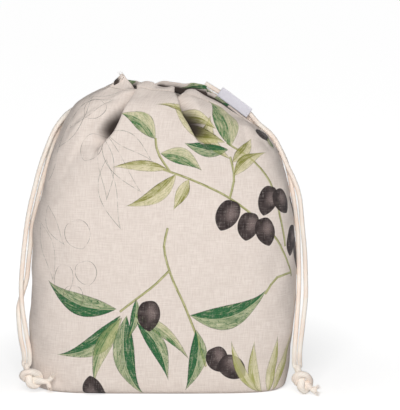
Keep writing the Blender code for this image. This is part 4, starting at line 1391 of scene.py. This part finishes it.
def ink_group():
    tree, g, given, out = new_group(
        "ink_shape", (("Place", VECTOR, None), ("Size", VECTOR, None), ("Wash", FLOAT, 0.5),
                      ("Grain", FLOAT, 0.5)), (("Colour", COLOUR), ("Mask", FLOAT)))
    place, wash, grain = given["Place"], given["Wash"], given["Grain"]
    u, v, _ = g.parts(place)
    length, half, kind = g.parts(given["Size"])
    form = g.node("ShaderNodeSeparateColor", {0: g.table(kind, [row[2] for row in INKS])}).outputs
    olive, outline, stem = form[0], form[1], form[2]
    leaf = g.minus(1.0, g.math("MAXIMUM", olive, stem))
    half_width = half_width_at(g, u, length, half, olive, stem, leaf)
    inside = depth_inside(g, u, v, length, half_width, leaf, grain)
    pale = leaf_paleness(g, place, wash, kind, leaf)
    thin = g.times(g.times(pale, leaf), THIN_PAINT)
    g.put(g.times(ink_cover(g, inside, outline, wash), g.minus(1.0, thin)), out["Mask"])
    shine = olive_shine(g, u, v, length, half, wash, grain)
    pale = g.plus(g.times(pale, g.minus(1.0, olive)), g.times(shine, olive), clamp=True)
    paint = g.mix(pale, g.table(kind, [row[0] for row in INKS]), g.table(kind, [row[1] for row in INKS]))
    rim_paint = g.mix(1.0, paint, RIM_COLOUR, blend="MULTIPLY")
    g.put(g.mix(dried_rim(g, inside, stem, wash), paint, rim_paint), out["Colour"])
    return tree


ink = ink_group()
print("group", ink.name, len(ink.nodes), "nodes")

# %% [markdown]
# ## Linen
#
# Linen yarn is spun unevenly, so the cloth shows thin and thick threads, called slubs, in both
# directions. The weave group makes a plain weave: two sets of threads that pass over each other in turn,
# and long streaks along each set. It gives a height for the bump and a tone for the colour.


# %% Weave node group
THREADS_A_METRE = 1700.0
SLUBS_UP, SLUBS_ACROSS = (950.0, 90.0), (80.0, 1050.0)  # how often they come, across the cloth and up it
THREAD_RELIEF, SLUB_RELIEF = 0.45, 2.2


def weave_group():
    tree, g, given, out = new_group(
        "linen_weave", (("Cloth", VECTOR, None), ("Threads per metre", FLOAT, THREADS_A_METRE)),
        (("Height", FLOAT), ("Tone", FLOAT), ("Mottle", FLOAT)))
    cloth = given["Cloth"]
    across, up, _ = g.parts(cloth)
    turns = g.times(given["Threads per metre"], math.pi)
    warp = g.math("SINE", g.times(across, turns))
    weft = g.math("SINE", g.times(up, turns))
    over = g.times(warp, weft)
    threads = g.plus(g.times(g.math("ABSOLUTE", warp), g.plus(1.0, over)),
                     g.times(g.math("ABSOLUTE", weft), g.minus(1.0, over)))
    slub_up = g.noise(g.scaled(cloth, *SLUBS_UP), 1.0, 3.0, 0.6)
    slub_across = g.noise(g.scaled(cloth, *SLUBS_ACROSS), 1.0, 3.0, 0.6)
    tone = g.plus(g.times(slub_up, 0.5), g.times(slub_across, 0.5))
    g.put(g.plus(g.times(threads, THREAD_RELIEF), g.times(tone, SLUB_RELIEF)), out["Height"])
    g.put(tone, out["Tone"])
    g.put(g.noise(cloth, 55.0, 4.0, 0.55), out["Mottle"])
    return tree


weave = weave_group()
print("group", weave.name, len(weave.nodes), "nodes")

# %% [markdown]
# The material puts the layers of the print on the cloth, each a little thinner where a thread stands out.
# Light hardly reaches the cloth deep in a pleat or inside the mouth, so the shade there is painted. The
# mesh stores how much painted shade each place gets, from how deep it lies, and the material darkens the
# cloth by it.


# %% Linen material
SLUB_TONES = (0.36, 0.62)  # from the deeper colour of the linen to the lighter one
MOTTLE_TONES, MOTTLE_SHARE = (0.4, 0.7), 0.35
WORN_TONES, WORN_SHARE = (0.5, 0.68), 0.22  # the ink is thinner on the threads that stand out
LINEN_BUMP = (0.55, 0.00018)  # strength, and height in metres
PAINTED_SHADE_DEPTHS = (8.5, 23.0)  # millimetres: where the painted shade starts, and where it is darkest
# how dark the painted shade gets at most, and its near-black colour
PAINTED_SHADE_SHARE = 0.97
PAINTED_SHADE_COLOUR = colour(52, 38, 30)


def printed_on(g, tint, cloth, tone):
    """The tint with every layer of the print on it."""
    wash = g.noise(cloth, 130.0, 3.0, 0.6)
    grain = g.noise(cloth, 900.0, 3.0, 0.65)
    worn = g.minus(1.0, g.times(g.step(tone, *WORN_TONES), WORN_SHARE))
    for layer in range(PRINT_LAYERS):
        place = g.node("ShaderNodeAttribute", attribute_name="ink_place_%d" % layer)
        size = g.node("ShaderNodeAttribute", attribute_name="ink_size_%d" % layer)
        drawn = g.node("ShaderNodeGroup", node_tree=ink)
        for label, value in (("Place", place.outputs["Vector"]), ("Size", size.outputs["Vector"]),
                             ("Wash", wash), ("Grain", grain)):
            g.put(value, drawn.inputs[label])
        tint = g.mix(g.times(drawn.outputs["Mask"], worn), tint, drawn.outputs["Colour"])
    return tint


def linen_material(name, printed, light, deep):
    made, g, shader = new_material(name)
    cloth = g.node("ShaderNodeUVMap", uv_map="cloth").outputs[0]
    threads = g.node("ShaderNodeGroup", node_tree=weave)
    g.put(cloth, threads.inputs["Cloth"])
    tone = threads.outputs["Tone"]
    tint = g.mix(g.step(tone, *SLUB_TONES), deep, light)
    tint = g.mix(g.times(g.step(threads.outputs["Mottle"], *MOTTLE_TONES), MOTTLE_SHARE), tint, deep)
    if printed:
        tint = printed_on(g, tint, cloth, tone)
    # painted shade: the cloth's colour is darkened deep in pleats and inside the mouth
    depth = g.node("ShaderNodeAttribute", attribute_name="painted_shade").outputs["Fac"]
    tint = g.mix(g.times(g.step(depth, *PAINTED_SHADE_DEPTHS), PAINTED_SHADE_SHARE), tint, PAINTED_SHADE_COLOUR)
    g.put(tint, shader.inputs["Base Color"])
    g.bump(shader, threads.outputs["Height"], *LINEN_BUMP)
    soft_finish(shader, 0.9, 0.12, 0.6)
    return made


linen_printed = linen_material("linen_printed", True, colour(238, 226, 217), colour(223, 209, 199))
linen_reverse = linen_material("linen_reverse", False, colour(230, 217, 207), colour(214, 200, 189))
print("materials", linen_printed.name, linen_reverse.name)


# %% Make the two panels
CLOTH_THICKNESS = 0.55


def panel_mesh(name, panel, data):
    index = np.arange(panel["s"].size).reshape(panel["s"].shape)
    s, t = (corners_of(panel[part], panel["front"]) for part in ("s", "t"))
    mesh = smooth_mesh(name, panel["points"].reshape(-1, 3), corners_of(index, panel["front"]).tolist(),
                       "cloth", np.stack((s, t), axis=2) * MM)
    for label, layers in zip(("ink_place_", "ink_size_"), data):
        for number, values in enumerate(layers):
            attribute = mesh.attributes.new(label + str(number), "FLOAT_VECTOR", "CORNER")
            attribute.data.foreach_set("vector", values.ravel())
    # the amount of painted shade at each corner, read by the linen material
    painted_shade = mesh.attributes.new("painted_shade", "FLOAT", "CORNER")
    painted_shade.data.foreach_set("value", corners_of(panel["painted_shade"], panel["front"]).ravel())
    return mesh


def with_thickness(cloth):
    """The sheet with its reverse: print outside, plain cloth inside and on the cut edge."""
    wall = cloth.modifiers.new("thickness", "SOLIDIFY")
    wall.thickness = CLOTH_THICKNESS * MM
    wall.offset = -1.0
    wall.material_offset = 1
    wall.material_offset_rim = 1
    return plain(cloth)


cloths = {}
for name, panel in panels.items():
    mesh = panel_mesh("cloth_" + name, panel, print_data[name])
    cloths[name] = with_thickness(add_object("cloth_" + name, mesh, linen_printed, linen_reverse))
    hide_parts("panel_" + name)
    print(name, "cloth has", sum(len(p.vertices) - 2 for p in cloths[name].data.polygons), "triangles")

# %% [markdown]
# ## Stitches
#
# The hem is held by one row of stitches right round the channel. A row of stitches is a thing that
# repeats along a path, so Geometry Nodes make it: the path is cut into equal steps, and a short thread,
# rounded at its ends, is set on each step and turned along the path.


# %% Stitch tree
def stitch_tree():
    tree, g, given = new_tree("stitches", ("Step", "Length", "Thread"))
    path = g.node("GeometryNodeMeshToCurve", {"Mesh": given["Geometry"]}).outputs[0]
    even = g.node("GeometryNodeResampleCurve", {"Curve": path, "Length": given["Step"]}, mode="LENGTH")
    spots = g.node("GeometryNodeCurveToPoints", {"Curve": even.outputs[0]}, mode="EVALUATED").outputs
    ball = g.node("GeometryNodeMeshUVSphere", {"Segments": 8, "Rings": 6, "Radius": 1.0}).outputs[0]
    half_thick = g.times(given["Thread"], 0.5)
    size = g.node("ShaderNodeCombineXYZ", {0: half_thick, 1: half_thick, 2: g.times(given["Length"], 0.5)})
    placed = g.node("GeometryNodeInstanceOnPoints", {
        "Points": spots["Points"], "Instance": ball, "Rotation": spots["Rotation"],
        "Scale": size.outputs[0]})
    end_tree(g, given, placed)
    return tree


def thread_material():
    made, g, shader = new_material("linen_thread")
    where = g.node("ShaderNodeTexCoord").outputs["Object"]
    g.put(g.mix(g.noise(where, 500.0), colour(206, 190, 176), colour(236, 224, 212)),
          shader.inputs["Base Color"])
    shader.inputs["Roughness"].default_value = 0.7
    return made


stitches = stitch_tree()
thread = thread_material()
print("tree", stitches.name, len(stitches.nodes), "nodes; material", thread.name)

# %% Sew the hem
STITCH_SIZES = {"Step": 0.003, "Length": 0.0024, "Thread": 0.00042}
STITCH_HEIGHT = 0.12  # millimetres above the cloth
SEAM_COLUMNS = 2  # the row of stitches stops this many columns from a side seam

for name, panel in panels.items():
    row = int(np.argmin(np.abs(WALL_RUNS - STITCH_RUN)))
    line = (panel["wall"] + outward(panel["wall"], panel["front"]) * STITCH_HEIGHT)[row]
    line = line[SEAM_COLUMNS:-SEAM_COLUMNS]
    mesh = bpy.data.meshes.new("hem_stitches_" + name)
    mesh.from_pydata((line * MM).tolist(), [(i, i + 1) for i in range(len(line) - 1)], [])
    sewn = add_object("hem_stitches_" + name, mesh)
    run_tree(sewn, stitches, Material=thread, **STITCH_SIZES)
    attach(sewn, "root")
    print(sewn.name, len(sewn.data.polygons), "faces")

# %% [markdown]
# The cut edge at the peak of the front hem has lost a few threads. They are the same fibres again.

# %% Loose threads at the peak of the front hem
LOOSE_THREADS = 12
edge = panels["front"]["wall"][-1]
peak = Vector(edge[np.argmax(edge[:, 2])])
cloud = thread_cloud("loose_threads", [
    (peak + Vector((random.uniform(-3.0, 1.5), random.uniform(-0.6, 0.6), random.uniform(-2.5, 0.0))),
     Vector((random.uniform(-0.9, 0.3), random.uniform(-0.3, 0.3), 1.0)), random.uniform(2.5, 6.0))
    for _ in range(LOOSE_THREADS)])
run_tree(cloud, fibres, Thickness=FIBRE_THICKNESS, Material=thread)
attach(cloud, "root")
print(cloud.name, len(cloud.data.polygons), "faces")

# %% [markdown]
# ## The label
#
# A woven ribbon, folded and sewn along its lower edge to the inside of the back hem. It is left blank. It
# has the thickness of two layers, bows a little and has a satin weave with a firmer woven edge.

# %% Blank label
LABEL_SIZE = (36.5, 1.0, 10.5)
LABEL_CENTRE = (71.2, 6.9, 280.6)
LABEL_TURN = (-10.7, 36.0)
RIBS_APART, FLOATS_APART = 0.0007, 0.00045  # metres


def label_material():
    made, g, shader = new_material("label_ribbon")
    uv = g.node("ShaderNodeUVMap", uv_map="ribbon").outputs[0]
    along_ribbon, across_ribbon, _ = g.parts(uv)
    ribs = g.math("SINE", g.times(along_ribbon, 2.0 * math.pi / RIBS_APART))
    floats = g.math("SINE", g.times(across_ribbon, 2.0 * math.pi / FLOATS_APART))
    cloudy = g.noise(uv, 300.0, 3.0)
    g.put(g.mix(cloudy, colour(222, 218, 228), colour(240, 238, 244)), shader.inputs["Base Color"])
    g.bump(shader, g.plus(ribs, g.times(floats, 0.6)), 0.4, 0.0001)
    soft_finish(shader, 0.55, 0.2)
    return made


print("label", LABEL_SIZE[0], "by", LABEL_SIZE[2], "mm")


# %% Fold the ribbon
LABEL_STATIONS = 31
LABEL_BOW, LABEL_LEAN, LABEL_WAVE = 0.35, 0.15, 0.12


def label_profile():
    """Across the ribbon: up one layer, round the fold and down the other."""
    _, thick, high = LABEL_SIZE
    turn = np.linspace(-np.pi / 2.0, np.pi / 2.0, 7)
    low = np.linspace(-high / 2.0, high / 2.0 - thick / 2.0, 9)[:-1]
    fold = [(math.sin(a) * thick / 2.0, high / 2.0 - thick / 2.0 + math.cos(a) * thick / 2.0) for a in turn]
    return np.array([(-thick / 2.0, z) for z in low] + fold + [(thick / 2.0, z) for z in low[::-1]])


def label_points(profile, stations):
    """The profile at each station along the ribbon, which bows and waves a little."""
    long, _, high = LABEL_SIZE
    points = []
    for x in stations:
        bow = LABEL_BOW * math.cos(math.pi * x / long) - LABEL_LEAN
        wave = LABEL_WAVE * math.sin(7.0 * x / long)
        points.extend((x, y + bow * (z / high + 0.5) + wave, z) for y, z in profile)
    return points


def label_mesh():
    profile = label_profile()
    way = along(np.column_stack((profile, np.zeros(len(profile)))))
    stations = np.linspace(-LABEL_SIZE[0] / 2.0, LABEL_SIZE[0] / 2.0, LABEL_STATIONS)
    count = len(profile)
    faces, uvs = [], []
    for i in range(len(stations) - 1):
        for k in range(count):
            n = (k + 1) % count
            faces.append((i * count + k, (i + 1) * count + k, (i + 1) * count + n, i * count + n))
            w0, w1 = way[k] * MM, way[n] * MM
            u0, u1 = stations[i] * MM, stations[i + 1] * MM
            uvs.extend(((u0, w0), (u1, w0), (u1, w1), (u0, w1)))
    for end in (0, (len(stations) - 1) * count):
        ring = [end + k for k in range(count)]
        faces.append(tuple(reversed(ring) if end else ring))
        uvs.extend([(0.0, 0.0)] * count)
    mesh = smooth_mesh("label_folded", label_points(profile, stations), faces, "ribbon", uvs)
    swing, tip = (math.radians(angle) for angle in LABEL_TURN)
    mesh.transform(Matrix.Translation(Vector(LABEL_CENTRE) * MM) @ Matrix.Rotation(swing, 4, "Z")
                   @ Matrix.Rotation(tip, 4, "Y"))
    return mesh


label = add_object("label_folded", label_mesh(), label_material())
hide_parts("label")
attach(label, "root")
print("label", len(label.data.polygons), "faces")

# %% [markdown]
# ## Floor and light
#
# A pale floor, a soft light in front and above, and a weaker one low on the right. The surround gives
# only a little light, but the camera sees it white. The floor also glows a little for the camera alone,
# a painted brightness, and glows less near the bag, which paints a faint shadow there. It is stage, so it
# isn't part of the bag.

# %% Floor
FLOOR_HALF = 18.0
FLOOR_GLOW_NEAR, FLOOR_GLOW_FAR = 0.62, 0.85
FLOOR_GLOW_GROWS = (0.12, 0.5)  # metres from the middle of the bag; nearer, the glow is lower, a painted shadow


def camera_only(g):
    """1 for what the camera sees directly, 0 for the light that things get."""
    return g.node("ShaderNodeLightPath").outputs["Is Camera Ray"]


def floor_material():
    made, g, shader = new_material("paper")
    shader.inputs["Base Color"].default_value = (0.8, 0.8, 0.8, 1.0)
    shader.inputs["Roughness"].default_value = 1.0
    shader.inputs["Emission Color"].default_value = (1.0, 1.0, 1.0, 1.0)
    away = g.length(g.node("ShaderNodeTexCoord").outputs["Object"])
    # painted shadow: the floor's glow is lower near the bag
    growth = g.times(g.step(away, *FLOOR_GLOW_GROWS), FLOOR_GLOW_FAR - FLOOR_GLOW_NEAR)
    g.put(g.times(camera_only(g), g.plus(FLOOR_GLOW_NEAR, growth)), shader.inputs["Emission Strength"])
    return made


floor_mesh = bpy.data.meshes.new("floor")
corners = [(x * FLOOR_HALF, y * FLOOR_HALF, 0.0) for x, y in ((-1, -1), (1, -1), (1, 1), (-1, 1))]
floor_mesh.from_pydata(corners, [], [(0, 1, 2, 3)])
floor = add_object("floor", floor_mesh, floor_material())
print("floor", 2.0 * FLOOR_HALF, "m wide")


# %% Lights and surround
SURROUND_LIGHT = 0.17


def soft_light(name, place, aim, width, watts):
    data = bpy.data.lights.new(name, "AREA")
    data.shape = "SQUARE"
    data.size = width
    data.energy = watts
    lamp = bpy.data.objects.new(name, data)
    lamp.location = place
    lamp.rotation_euler = (Vector(aim) - Vector(place)).to_track_quat("-Z", "Y").to_euler()
    bpy.context.scene.collection.objects.link(lamp)
    return lamp


soft_light("key", (-0.15, -1.75, 0.9), (0.0, 0.0, 0.1), 0.7, 20.0)
soft_light("fill", (0.5, -1.7, 0.12), (0.0, 0.0, 0.03), 0.9, 9.0)
world = bpy.data.worlds.new("tent")
bpy.context.scene.world = world
world.use_nodes = True
g = Graph(world.node_tree)
backdrop = world.node_tree.nodes["Background"]
backdrop.inputs["Color"].default_value = (1.0, 1.0, 1.0, 1.0)
strength = g.plus(SURROUND_LIGHT, g.times(camera_only(g), 1.0 - SURROUND_LIGHT))
g.put(strength, backdrop.inputs["Strength"])
bpy.context.scene.view_settings.view_transform = "Standard"
print("floor and lights ready")

# %% [markdown]
# ## Every piece on the bag's body
#
# Every piece rides on the bag's one body: each is parented to the empty body:root and keeps its place.

# %% Attach pieces to the body
for piece in [cord for cord, points, length in cords.values()] + list(knots.values()) + frays:
    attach(piece, "root")
for name, cloth in cloths.items():
    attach(cloth, "root")
print(len(cords), "cords and", len(cloths), "sheets declared")
